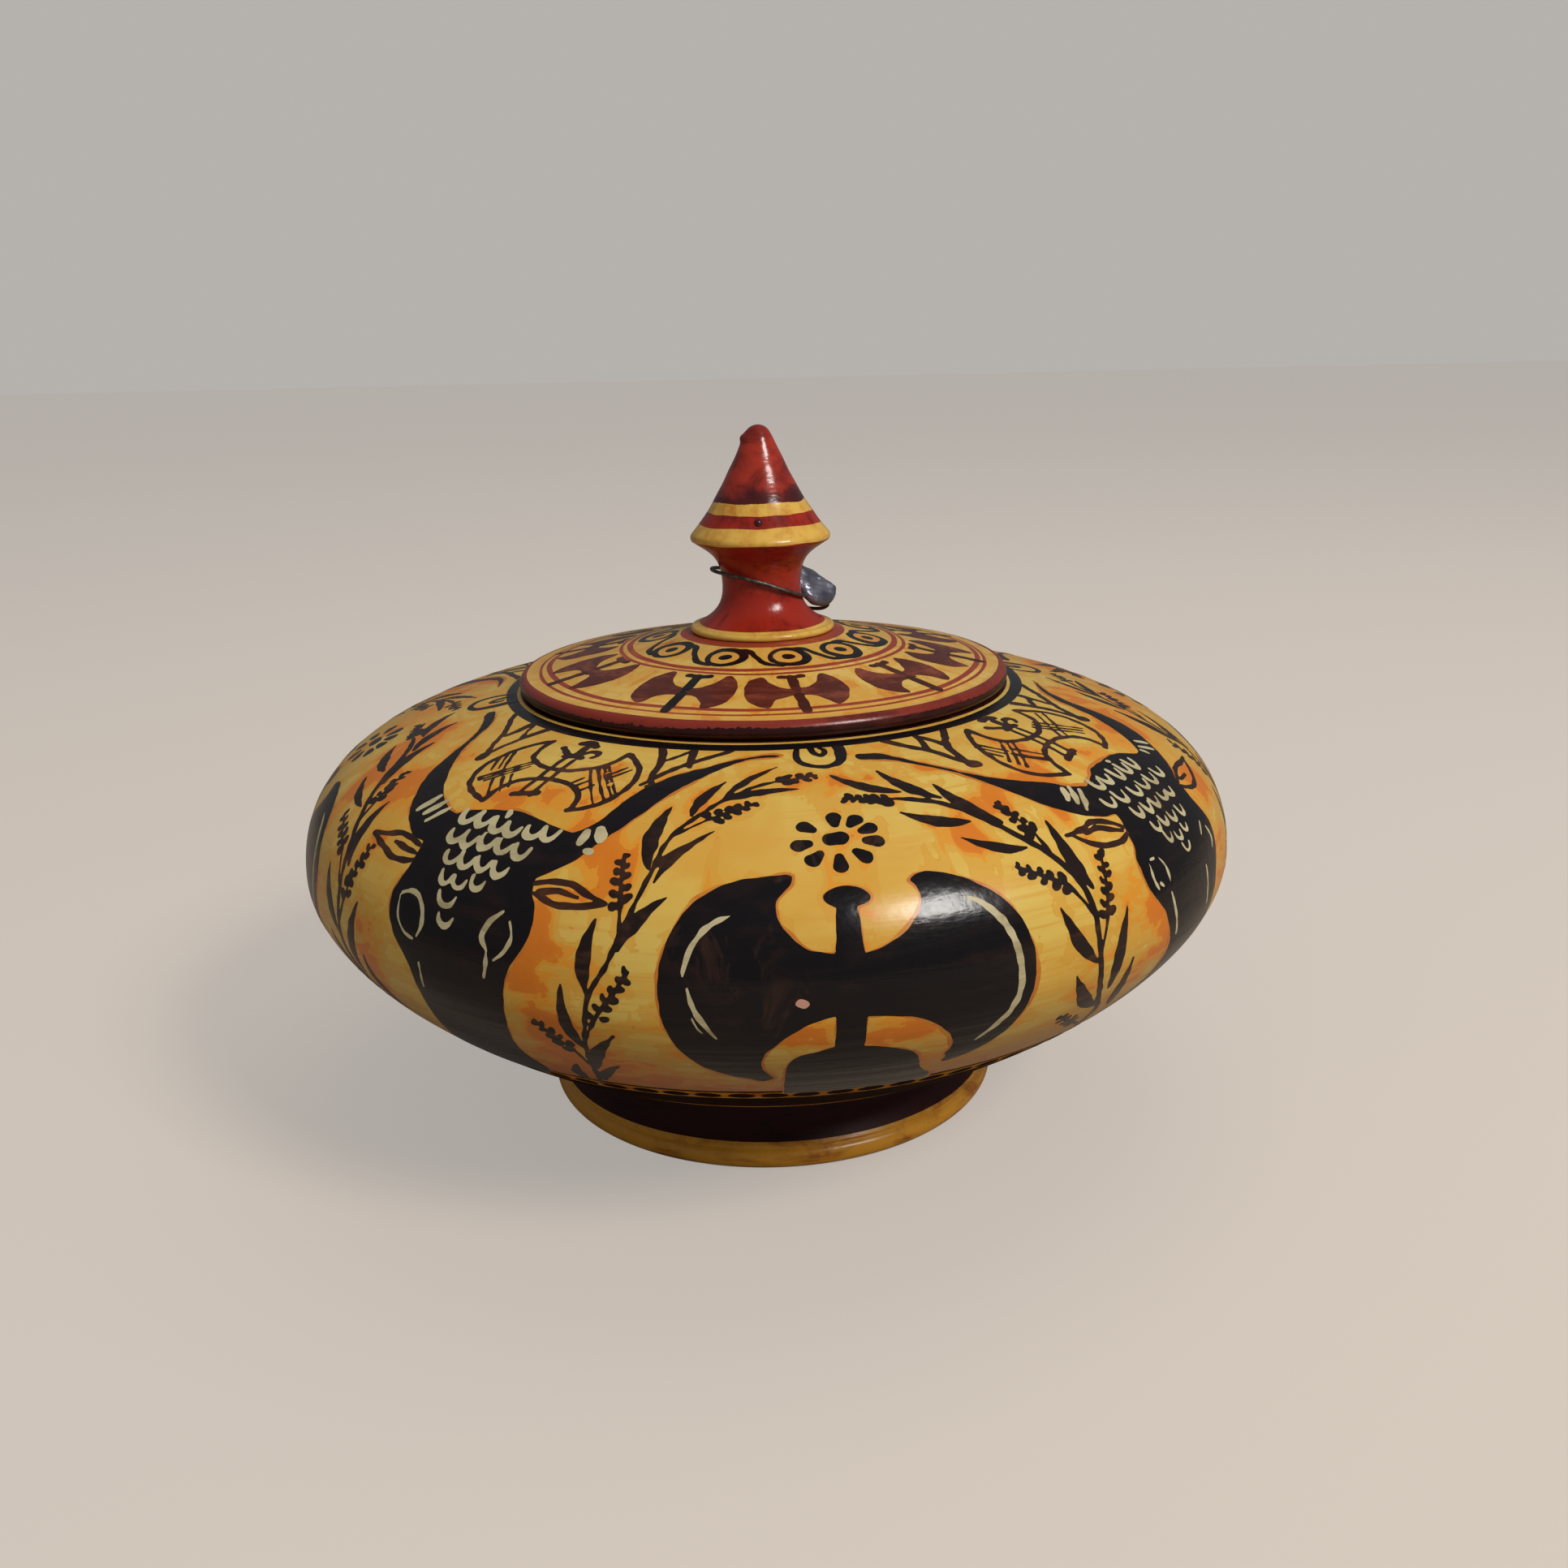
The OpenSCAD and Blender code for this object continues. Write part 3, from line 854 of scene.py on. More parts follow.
# %% [markdown]
# ## Bulls' heads
# A head is seen from the front: a broad forehead, a narrow muzzle and two long horns that reach
# out to the mouth of the bowl. The two heads that are drawn differ, so each has its own outline.

# %% Bulls' heads
HEAD_LEFT = [
    (-41.4, 103.4), (-39.9, 104.9), (-37.7, 106), (-35, 106.8), (-32.3, 107.3), (-29.7, 106.5),
    (-27.5, 105.6), (-25.3, 104.7), (-23.5, 104.2), (-22, 105.8), (-20.6, 108.8), (-19.8, 112),
    (-18.7, 115.7), (-17.3, 118.8), (-15.1, 122), (-12.2, 124.7), (-10, 126.2), (-7.6, 128),
    (-5.2, 129.4), (-2.1, 130.6), (.6, 131.2), (2.7, 130.9), (1.7, 130.2), (-1.1, 130),
    (-3.5, 129.2), (-6.2, 127), (-8.6, 124.2), (-10.6, 121.6), (-12.3, 119), (-14, 115.7),
    (-15.8, 111), (-17.6, 106.8), (-19.5, 102.7), (-21.3, 98.6), (-23.5, 95.8), (-25.1, 94),
    (-25, 91.7), (-24.2, 89), (-24, 85.6), (-24.6, 82.2), (-25.7, 79.4), (-26.6, 76), (-27, 71.2),
    (-27.5, 66.4), (-28.1, 61), (-28.1, 55.5), (-27.6, 50.7), (-28.1, 46.6), (-29.3, 43.5),
    (-33, 42), (-39, 42.5), (-42.5, 46), (-42.6, 50), (-41.4, 52.7), (-40.2, 57), (-39.4, 61.6),
    (-38.9, 66.4), (-39, 70), (-39.5, 73.3), (-40.6, 76), (-42.1, 78.7), (-43.2, 82.2),
    (-43.4, 85.6), (-42.8, 89), (-42.4, 91.7), (-42.5, 94.4), (-42.8, 96.1), (-45, 96.5),
    (-47.6, 98.6), (-49.8, 101.3), (-52.3, 105.4), (-54.9, 110.2), (-56.7, 115), (-59.3, 120.5),
    (-61.8, 123.6), (-64, 125.3), (-67, 126.8), (-70.5, 127.9), (-71.8, 129), (-71, 130.1),
    (-67.5, 129.3), (-64, 127.7), (-61.8, 125.6), (-59.3, 122.2), (-56.7, 118.4), (-53.4, 114.3),
    (-50, 110), (-47.6, 107.1), (-45, 105.1), (-42.8, 103.7)]
HEAD_RIGHT = [
    (45.1, 104.9), (47.5, 106.5), (49.7, 108.2), (53, 108.6), (55.9, 108.8), (58.4, 108.2),
    (60.3, 106.8), (62.1, 105.4), (63.2, 105.4), (65.7, 108.8), (67.9, 113), (70.5, 117.7),
    (72.3, 122.2), (74.1, 125.3), (77.1, 128), (81.4, 129.6), (87.3, 130.2), (84, 129.4),
    (81.4, 128.6), (78.5, 127.2), (76, 124.3), (74.5, 121.2), (73.4, 116.4), (72, 111),
    (70.1, 106.8), (67.6, 102.7), (65, 98.9), (62.8, 96.4), (62.3, 94.5), (62.1, 91.7), (62.6, 89),
    (63.2, 86.3), (62.8, 82.2), (61.7, 78.7), (60.8, 74.6), (59.8, 70.5), (59.3, 65), (58.9, 59),
    (59, 53), (59.3, 48), (57.8, 43.6), (53, 42), (47.5, 42.6), (44.6, 46), (44.6, 50.5),
    (46.2, 55), (47.6, 61), (48, 67.8), (47.3, 72), (46.4, 76), (45.3, 78.7), (44, 81.5),
    (43.3, 85), (43.3, 88.3), (44, 90.4), (44.2, 93), (44.8, 95.5), (44.8, 97.3), (42.4, 97.9),
    (40, 99.4), (37.4, 102.1), (35.3, 105.2), (32.8, 110.2), (30.4, 115), (28, 118.8),
    (25.3, 121.5), (22.9, 123.9), (20.8, 125.6), (17.7, 126.6), (16.2, 127), (15.5, 128),
    (16, 129.2), (18.1, 129), (20.1, 128.4), (22.2, 126.4), (24.9, 123.2), (27.7, 120.1),
    (30.1, 117.1), (33.5, 113.6), (36.6, 111.2), (40, 108.8), (42.4, 106.4)]
ink.shape(HEAD_LEFT, (0, 8, 21, 35, 66))
ink.shape(HEAD_RIGHT, (0, 8, 16, 28, 57))
print("bulls' heads:", len(HEAD_LEFT), "and", len(HEAD_RIGHT), "points")

# %% [markdown]
# ## The halo round the figures
# Wet dark slip drew a little orange out of the ground, so a thin, uneven halo shows round the axes
# and the heads. It is the same sheet let out by a quarter of a millimetre, and then made uneven.

# %% Halo
halo.d = ink.d + .25
halo.wobble(.38, 6, (.15, .5))
halo.wobble(.1, 7)
print("the halo and what it surrounds: %.0f square mm" % halo.area())

# %% [markdown]
# ## Rosettes and hooks
# A rosette of nine petals stands above each axe, and a hook with a curl in it hangs between the
# horns. A petal is one short stroke that widens outwards from the middle.

# %% Rosettes and hooks
PETALS = [
    (8.1, 108.4), (10.3, 107.6), (11.6, 105.6), (11.8, 102.9), (10.2, 100.2), (7.7, 99),
    (5.2, 100.2), (4, 103), (4.8, 106.8)]
MIDDLE = (7.8, 103.9)
MM_IN_DEGREE, DEGREES_IN_MM = 1.62, .62
HOOK = [
    (6.3, 134.5), (5.5, 131.6), (5.4, 129), (6.3, 127), (8.2, 125.8), (10.2, 125.6), (12.2, 126.8),
    (13.2, 129), (13.6, 131.6), (13.8, 134.5)]
HOOK_WIDTHS = [1.1, 1.2, 1.3, 1.4, 1.3, 1.4, 1.7, 2.1, 2.3, 2.3]
CURL = [(8.4, 134.5), (8.6, 131.5), (9.5, 130), (10.5, 130.6), (10.8, 132.2), (10, 133)]
CURL_WIDTHS = [1.4, 1.3, 1.2, 1.2, 1, .8]


def rosette(du):
    for u, v in PETALS:
        x, y = (u - MIDDLE[0])*MM_IN_DEGREE, v - MIDDLE[1]
        far = math.hypot(x, y)
        x, y = x/far*DEGREES_IN_MM, y/far
        ink.stroke(shifted([(u - .85*x, v - .85*y), (u + .9*x, v + .9*y)], du), [1.7, 2.8])
    ink.stroke(shifted([(7.2, 103.9), (8.3, 104.1)], du), [3, 3.1])


for du, _ in AXES_AT:
    rosette(du)
    ink.stroke(shifted(HOOK, du), HOOK_WIDTHS)
    ink.stroke(shifted(CURL, du), CURL_WIDTHS)
print("petals:", len(PETALS)*len(AXES_AT))

# %% [markdown]
# ## Olive sprays
# A spray climbs on each side of an axe: a stem, leaves, ears of berries and the twigs that carry
# them. The two sides differ in every leaf, so each is a list, and one function paints both.

# %% Olive sprays
def spray(side, du, seed):
    """side: stem and its width, leaves (from, to, width), ears (from, to, count), twigs, width."""
    stem, stem_width, leaves, ears, twigs, twig_width = side
    sprays.stroke(shifted(stem, du), stem_width, ends=(1, .6))
    for a, b, width in leaves:
        sprays.leaf(*shifted([a, b], du), width)
    for a, b, count in ears:
        sprays.berries(*shifted([a, b], du), count, seed + count)
    for a, b in twigs:
        sprays.stroke(shifted([a, b], du), twig_width)


LEFT_STEM = [
    (-21.5, 45), (-20.4, 51), (-19.7, 56), (-19.1, 63), (-18.4, 68.5), (-17.6, 75.3), (-15.8, 80.8),
    (-14.7, 85.6), (-13.6, 91), (-12.6, 96.5), (-12, 101.3), (-11, 106), (-8.9, 110.2),
    (-6.9, 113.6), (-4.8, 116.4), (-2.4, 118.8), (0, 120.4), (1.7, 121.2)]
LEFT_LEAVES = [
    ((-5.8, 115.7), (1.8, 126.3), 1.7), ((-6.2, 114.7), (4.8, 118.3), 2.1), ((-9.6, 110.6),
    (-6, 121.2), 2.3), ((-12.9, 97.9), (-12.5, 113), 3), ((-12, 95.2), (-6.2, 106.8), 1.7),
    ((-14.7, 83.5), (-10.3, 92.8), 2.4), ((-17.8, 76), (-17.3, 88.3), 2.8), ((-18.9, 63),
    (-20.4, 77.4), 2.5), ((-19.3, 55.5), (-15.5, 67.8), 2.7), ((-20, 48.6), (-16.2, 58.2), 2.2),
    ((-22.8, 46.5), (-21.7, 56.1), 2.6), ((-12.6, 97), (-9.5, 103), 1.1)]
LEFT_EARS = [
    ((1.7, 121), (7.6, 122.6), 6), ((-7.4, 109.6), (-1.5, 114.2), 8), ((-15, 90.5),
    (-16, 100.4), 8), ((-17.2, 71), (-13.6, 80), 9), ((-20.6, 62.6), (-23.8, 69), 7)]
LEFT_TWIGS = [
    ((-11.4, 105), (-7.4, 109.6)), ((-14.7, 86), (-15, 90.5)), ((-19, 65), (-17.2, 71)),
    ((-19.7, 56), (-20.6, 62.6))]
RIGHT_STEM = [
    (43, 44.5), (40, 51), (39.2, 57.5), (37.2, 63), (35.9, 67.8), (35.2, 72), (34.9, 76.7),
    (34.7, 82), (34.1, 87), (32.8, 91.4), (31.4, 94.8), (29.5, 98.6), (27.3, 102.7), (24.9, 107),
    (22.2, 110.2), (19.5, 111.9), (17.1, 112.8)]
RIGHT_LEAVES = [
    ((18.4, 114.7), (9.7, 122.4), 2.6), ((23.1, 111.4), (17.2, 122.2), 2.8), ((28.4, 102.7),
    (23.7, 115.7), 3.2), ((24.6, 104.2), (16.7, 108.9), 2.7), ((29.4, 96.4), (22.2, 101.1), 2.2),
    ((35.3, 86.3), (34.2, 100.6), 3), ((34.6, 73.3), (30.4, 84.6), 2.8), ((37.4, 60.6),
    (31.8, 71.9), 3), ((37.9, 65.7), (39.5, 81.1), 3), ((41.9, 57), (40.4, 71), 2.8)]
RIGHT_EARS = [
    ((16.5, 112.8), (10.3, 114.4), 9), ((31.5, 98.5), (29.8, 107.3), 8), ((32.3, 88),
    (26.9, 93.3), 8), ((36.3, 80.5), (38.3, 91.8), 10), ((36.8, 55), (32, 61.4), 7)]
RIGHT_TWIGS = [
    ((32, 93.6), (31.5, 98.5)), ((34.5, 82), (32.3, 88)), ((35, 74.5), (36.3, 80.5)), ((40.2, 50.5),
    (36.8, 55))]
for du, seed in AXES_AT:
    spray((LEFT_STEM, .9, LEFT_LEAVES, LEFT_EARS, LEFT_TWIGS, .6), du, 11 + seed)
    spray((RIGHT_STEM, 1.3, RIGHT_LEAVES, RIGHT_EARS, RIGHT_TWIGS, .7), du, 31 + seed)
print("leaves:", (len(LEFT_LEAVES) + len(RIGHT_LEAVES))*len(AXES_AT))

# %% [markdown]
# ## Curls on the foreheads
# Rows of small scallops in cream slip stand for the curly hair. Each is one flick of a fine brush,
# so a row is worked out from its ends, and every scallop is a little off in place and width.

# %% Curls on the foreheads
BROW_LEFT = [
    (-40.4, -24.6, 101.8, 6, 3.4, 1.4), (-39.8, -27.2, 97.3, 5, 2.8, 1.3),
    (-38.4, -28.6, 93.3, 4, 2.6, 1.2), (-37.4, -30.8, 89.6, 3, 2.5, 1.05),
    (-36.6, -33.6, 86.2, 1, 2.2, 1), (-35.8, -33.4, 83, 1, 2, 1)]
BROW_RIGHT = [
    (46, 59.6, 103.3, 5, 3, 1.2), (44.6, 62.6, 98.8, 6, 2.6, 1), (47.6, 59.8, 94.6, 5, 2.4, 1),
    (49.2, 58.2, 91, 4, 2.2, .9), (50.3, 56.6, 88, 3, 2, .8), (52.8, 55.4, 84.8, 1, 1.8, .8)]
rng = np.random.default_rng(7)


def curls(u0, u1, v, count, height, width, fill):
    """A row of scallops from u0 to u1; fill is the share of its room that each one takes."""
    room = (u1 - u0)/count
    for i in range(count):
        j = rng.normal(0, 1, 6)
        u, y, h = u0 + (i + .06*j[0])*room, v + .22*j[1], height*(1 + .12*j[2])
        e = room*fill
        cream.stroke([(u + .06*e, y + h), (u + (.14 + .03*j[3])*e, y + .4*h), (u + .42*e, y),
                      (u + .74*e, y + (.2 + .06*j[4])*h), (u + .9*e, y + .8*h)],
                     [width*.7, width, width*(1 + .2*j[5]), width*.9, width*.6])


for row in BROW_LEFT:
    curls(*row, fill=1)
for row in BROW_RIGHT:
    curls(*row, fill=.82)
print("cream on the axes and foreheads: %.0f square mm" % cream.area())

# %% [markdown]
# ## Flicks, eyes and ears
# Short cream flicks mark the roots of the horns, the cheeks and the brow, and thin curved lines
# draw the eyes and nostrils. The ears are only outlined, in the brown of the fine brush.

# %% Flicks, eyes and ears
FLICKS = [
    ((-47, 105.8), (-48.1, 101.6), 1.7), ((-45, 105.3), (-46.4, 101.2), 1.6), ((-43.3, 104.2),
    (-45, 100), 1.2), ((-21.7, 104.8), (-21.9, 102), 1.9), ((-20.2, 105.6), (-19.6, 103), 2.4),
    ((-20.7, 100.5), (-20.1, 100.2), 1.5), ((41, 106.2), (39.9, 103.6), 1.6), ((42.1, 106),
    (40.8, 102.2), 1.4), ((43.2, 104.8), (41.2, 100.2), 1.2), ((64, 105.3), (64.6, 103.6), 1),
    ((65, 106), (67, 103.4), 1.1), ((66.3, 107.3), (68.1, 105), 1.1), ((-33.9, 106.8),
    (-33.7, 105.4), 1.3), ((54, 108), (54.5, 107.7), 1.1), ((-38, 75), (-37.8, 70.5), .7),
    ((-28.9, 80.5), (-29.1, 75.6), .8), ((47.7, 79.8), (48.8, 71.2), .8), ((57.5, 79.8),
    (57.3, 72.4), .8)]
for a, b, width in FLICKS:
    middle = ((a[0] + b[0])/2 + .1, (a[1] + b[1])/2)
    cream.stroke([a, middle, b], [width*.7, width, width*.7])
FACE_LINES = [
    ([(-42, 85.6), (-41.6, 82), (-40.2, 79.5), (-38.9, 79)], .6),
    ([(-41.8, 86.2), (-40.6, 87), (-39.2, 86.6), (-38.1, 84.6), (-37.8, 82), (-38.4, 79.6)], .9),
    ([(-27.6, 87.4), (-29, 85.2), (-29.6, 82.6), (-28.8, 80.3)], 1.1),
    ([(-26.6, 86), (-26.1, 83.4), (-26.8, 80.8), (-28, 79)], .7),
    ([(45, 86.4), (44.9, 83.6), (45.4, 81.4)], .7),
    ([(45.4, 87), (46.2, 87)], .6),
    ([(47, 86.8), (47.8, 84.6), (47.9, 81.4)], .7),
    ([(45.9, 82.4), (46.4, 81.6)], 1),
    ([(59.9, 87.6), (58.7, 85.4)], 1.2),
    ([(61, 86), (61.6, 83.6), (60.9, 81.6)], .9)]
for line, width in FACE_LINES:
    cream.stroke(line, width, ends=(.5, .5))
EARS = [
    [(-52.2, 93.9), (-49.4, 95), (-46.9, 96.1), (-44.6, 95.8), (-42.4, 95)],
    [(-52.2, 93.9), (-49.4, 92.8), (-46.5, 91.5), (-43.6, 91.6), (-42.3, 92.4)],
    [(-47.2, 94.2), (-45, 93.8), (-42.4, 93.5)],
    [(-25.1, 93), (-23.5, 93.8), (-20.9, 93.8), (-19.1, 92.5), (-16.5, 90.9)],
    [(-24.9, 91.4), (-22.4, 90), (-19.8, 90), (-17.6, 90.6), (-16.5, 90.9)],
    [(-24.4, 91.8), (-22, 92.3), (-19.7, 91.5)],
    [(35.3, 96.6), (38, 96.8), (40.2, 97.7), (42.6, 96.4), (44.4, 94.4)],
    [(36.3, 96.2), (38, 93.8), (40.2, 92.5), (42.6, 92.2), (44.4, 93.2)],
    [(38.2, 95.9), (40.2, 96.2), (42.2, 95), (43.8, 94)],
    [(62.6, 95.8), (65.2, 97.5), (67, 97.8), (69.8, 97.2), (72.3, 97)],
    [(62.5, 94.6), (65, 92.9), (67.6, 93.1), (70, 95.2), (71.4, 96.7)],
    [(63.9, 95.7), (66.7, 95.4)]]
for line in EARS:
    thin.stroke(line, 1.2, ends=(.7, .6))
print("flicks:", len(FLICKS), "face lines:", len(FACE_LINES), "ear lines:", len(EARS))

# %% [markdown]
# ## Small axes between the horns
# Above each head hangs a small double axe, drawn in outline with a fine brush and hatched. The
# outline is the same for both, a shift apart, and each has its own hatching.

# %% Small axes between the horns
SMALL_AXE = [
    [(-43.6, 129), (-45, 127.2), (-46.5, 124), (-47.2, 120.5), (-47.3, 117), (-46.5, 113.6),
     (-45, 111), (-42.8, 109.3), (-39.6, 107.9)],
    [(-43, 129.6), (-42.5, 126), (-41.4, 123.2), (-39.2, 121.5), (-36.3, 120.7), (-32.6, 120.8),
     (-30.1, 121.9), (-27.5, 123.9), (-26, 126.3), (-25.1, 129.6)],
    [(-24.6, 129.4), (-22.4, 127), (-20.6, 124), (-20, 120.5), (-20.6, 116.4), (-22, 113),
     (-24.2, 110.6), (-26.3, 109.5)],
    [(-39.7, 108), (-39.4, 111.6), (-38.5, 114.3), (-37, 116), (-34.8, 117.1), (-32.3, 117.4),
     (-29.7, 116.9), (-27.5, 115.4), (-26.2, 113), (-25.8, 109.8)]]
SMALL_KNOT = [
    ([(-36.2, 111.3), (-34.5, 112.2), (-32.7, 112.8)], 1.5),
    ([(-36.5, 131), (-34.8, 131.6), (-32.9, 130.6)], [1.8, 2.4, 1.6]),
    ([(-38.7, 128.2), (-37.4, 127.2), (-35.4, 126)], [1.5, 1.2, 1.4]),
    ([(-33.4, 127), (-32.4, 128.5), (-31, 128.7), (-30.2, 127.5), (-31, 126.4)],
     [1, 1.3, 1.4, 1.1, .8]),
    ([(-36.2, 125.4), (-34.4, 126.2), (-32.6, 125.8)], [1.4, 2, 1.3]),
    ([(-34.4, 126), (-34.5, 129.5)], [1.6, 1.8])]


def small_axe(du, dv, hatch):
    for line in SMALL_AXE:
        thin.stroke(shifted(line, du, dv), [1.4] + [1.2]*(len(line) - 1))
    for u in (-35.5, -33.5):
        thin.stroke(shifted([(u, 124.6), (u + .1, 118), (u, 111.8)], du, dv), 1.0)
    for line, widths in SMALL_KNOT:
        thin.stroke(shifted(line, du, dv), widths)
    for line in hatch:
        thin.stroke(shifted(line, du, dv), .85, ends=(.9, .6))


HATCH_LEFT = [
    ((-46.8, 122), (-44, 117)), ((-46.2, 123), (-43, 117.2)), ((-46.9, 120), (-44.9, 116)),
    ((-44.9, 113.2), (-40.5, 121)), ((-44.3, 112.6), (-39.8, 120.6)), ((-43.4, 112.8),
    (-39.2, 120)), ((-42.4, 114), (-40.2, 110)), ((-41.2, 115.2), (-38.6, 111)), ((-40.4, 116.4),
    (-38.2, 112.8)), ((-28.6, 122.4), (-23.4, 112)), ((-27.6, 123.2), (-22.4, 113.6)),
    ((-26.8, 124), (-21.6, 114.6)), ((-26, 124), (-21, 115)), ((-24.6, 121.6), (-22.8, 124.6)),
    ((-23.8, 121), (-21.8, 124)), ((-29.4, 117), (-28.2, 119.4)), ((-28.4, 116.4), (-26.8, 119)),
    ((-27.2, 115), (-25.6, 117.6))]
HATCH_RIGHT = [
    ((-47.2, 123), (-44.2, 118.4)), ((-46.6, 124.2), (-43, 119)), ((-47.2, 121.2), (-45.4, 118)),
    ((-45.6, 116), (-41.6, 122.6)), ((-44.8, 114.6), (-40.6, 122)), ((-44.2, 113.2),
    (-39.8, 121.2)), ((-43.2, 118), (-39.4, 113.6)), ((-42.6, 116.8), (-39.2, 112.4)),
    ((-41.8, 119.2), (-38.6, 115)), ((-30.4, 123), (-24.4, 114.8)), ((-29.4, 123.6),
    (-23.6, 115.6)), ((-28.2, 124.2), (-22.6, 116)), ((-27, 121.4), (-23, 126)), ((-26.2, 120),
    (-21.6, 125)), ((-29.6, 117.4), (-28, 120.2)), ((-28.4, 116.6), (-26.8, 119.4))]
small_axe(0, 0, HATCH_LEFT)
small_axe(84.6, 1.2, HATCH_RIGHT)
print("hatching:", len(HATCH_LEFT) + len(HATCH_RIGHT), "strokes")

# %% [markdown]
# ## Lines from the mouth
# Fine brown lines run down from the dark ring at the mouth to the tips of the sprays and horns, and
# fork on the way. Like the rest of the frieze they follow the hand, so they are a list of strokes.

# %% Lines from the mouth
RING_EDGE = 133.2
MOUTH_LINES = [
    ([(-66, 134), (-62.5, 131.5), (-59, 129.4), (-56, 127), (-53.1, 123.2), (-50.8, 120)], 1.2),
    ([(-55, 134), (-54.6, 130), (-54.2, 126.6)], [2, 1.7, 1]),
    ([(-54.4, 133.4), (-52.4, 130.4), (-50.6, 127.8)], .9),
    ([(-48.7, 134), (-49.6, 130), (-50.4, 125), (-50.5, 119.6)], [2, 1.6, 1.1, 1.1]),
    ([(-50.6, 119.2), (-50.4, 118.4)], 2.6),
    ([(-20.6, 134.5), (-18.7, 130.4), (-18, 127), (-17.8, 121)], [1.4, 1.6, 1.5, 1.1]),
    ([(-17.7, 128), (-15.4, 130.6), (-13.2, 133.4)], .9),
    ([(-13.6, 134), (-13.1, 129.6), (-12.7, 126.2)], [1.8, 1.5, .9]),
    ([(-17.7, 121), (-15.1, 125.2), (-11.8, 128.7), (-8.2, 131.6), (-5, 134.4)], 1.3),
    ([(-18.6, 119), (-17.8, 120.4), (-16.9, 119.6), (-17.6, 118.7)], .9),
    ([(22.3, 134.4), (25.8, 130), (29, 126.6), (31.4, 121.8), (32.8, 119.6)],
     [2.2, 1.6, 1.6, 1.4, 1.4]),
    ([(32.7, 119.4), (33.3, 119.2)], 2.8),
    ([(28.9, 127), (29.6, 130), (30.6, 134)], 1.3),
    ([(30.2, 132.8), (31.6, 130.8), (32.8, 128)], 1.4),
    ([(38, 134), (35, 130), (32.9, 126.4), (32.4, 121)], [1.5, 1.5, 1.6, 1.5]),
    ([(63.5, 134), (65.4, 129), (66.5, 124.4), (66.8, 119.6)], [2.4, 1.8, 1.5, 1.5]),
    ([(66.8, 119), (67.2, 118.5)], 2.7),
    ([(65.8, 128.4), (68, 130), (70.6, 131)], 1.2),
    ([(70.8, 134), (70.4, 130), (69.9, 126.4)], [1.8, 1.5, 1]),
    ([(67, 120), (68.9, 124), (72.3, 127.4), (77.8, 131.6), (81, 133.4)], 1.4)]
for line, widths in MOUTH_LINES:
    thin.stroke(line, widths)
for sheet, size, seed in ((ink, .07, 1), (sprays, .1, 4), (thin, .09, 2), (cream, .09, 3)):
    sheet.wobble(size, seed)
thin.d = np.minimum(thin.d, (RING_EDGE - thin.v)[:, None])
print("lines from the mouth:", len(MOUTH_LINES))

# %% [markdown]
# ## Repeating round the axis
# The other half of the frieze repeats the first, half a turn on, and a chain of dabs repeats one
# dab. An Array modifier could turn copies with a helper object. A node tree does it with named
# inputs for the number of copies, the step in degrees and how unevenly they are set.

# %% Inputs of the tree that repeats
TREE = bpy.data.node_groups.new("repeat_round_axis", "GeometryNodeTree")
IDS = {}
for key, kind, value in (("Geometry", "Geometry", None), ("Count", "Int", 2),
                         ("Step", "Float", 180.0), ("Jitter", "Float", 0.0), ("Seed", "Int", 1),
                         ("Material", "Material", None)):
    socket = TREE.interface.new_socket(key, in_out="INPUT", socket_type="NodeSocket" + kind)
    IDS[key] = socket.identifier
    if value is not None:
        socket.default_value = value
TREE.interface.new_socket("Geometry", in_out="OUTPUT", socket_type="NodeSocketGeometry")
print("inputs of the tree:", list(IDS))

# %% [markdown]
# The tree makes one point on the axis for each copy, and sets the piece on it, turned by the
# point's number times the step and by a random stray. Then it makes the copies real and gives
# them their slip, because an export drops instances.

# %% Nodes of the tree that repeats
new, link = TREE.nodes.new, TREE.links.new


def maths(kind, a, b):
    """A node that works out a and b; a plain number has a decimal point."""
    node = new("ShaderNodeMath")
    node.operation = kind
    for socket, value in zip(node.inputs, (a, b)):
        if isinstance(value, float):
            socket.default_value = value
        else:
            link(value, socket)
    return node.outputs[0]


given = new("NodeGroupInput").outputs
points = new("GeometryNodePoints")
link(given["Count"], points.inputs["Count"])
stray = new("FunctionNodeRandomValue")
stray.data_type = "FLOAT"
low, high = [s for s in stray.inputs if s.enabled and s.type == "VALUE"][:2]
link(maths("MULTIPLY", given["Jitter"], -1.0), low)
link(given["Jitter"], high)
link(given["Seed"], stray.inputs["Seed"])
index = new("GeometryNodeInputIndex").outputs[0]
turn = maths("ADD", maths("MULTIPLY", index, given["Step"]),
             [s for s in stray.outputs if s.enabled][0])
rotation = new("ShaderNodeCombineXYZ")
link(maths("RADIANS", turn, 0.0), rotation.inputs[2])
copies = new("GeometryNodeInstanceOnPoints")
link(points.outputs[0], copies.inputs["Points"])
link(given["Geometry"], copies.inputs["Instance"])
link(rotation.outputs[0], copies.inputs["Rotation"])
real, paint = new("GeometryNodeRealizeInstances"), new("GeometryNodeSetMaterial")
link(copies.outputs[0], real.inputs[0])
link(real.outputs[0], paint.inputs["Geometry"])
link(given["Material"], paint.inputs["Material"])
link(paint.outputs[0], new("NodeGroupOutput").inputs[0])
print("nodes of the tree:", len(TREE.nodes))

# %% [markdown]
# ## The frieze's skins
# The tree is run on each skin, and its result is kept as a plain mesh, so that no modifier is left
# when the piece is handed to the frame. The lifts put each layer over the one it is painted on.

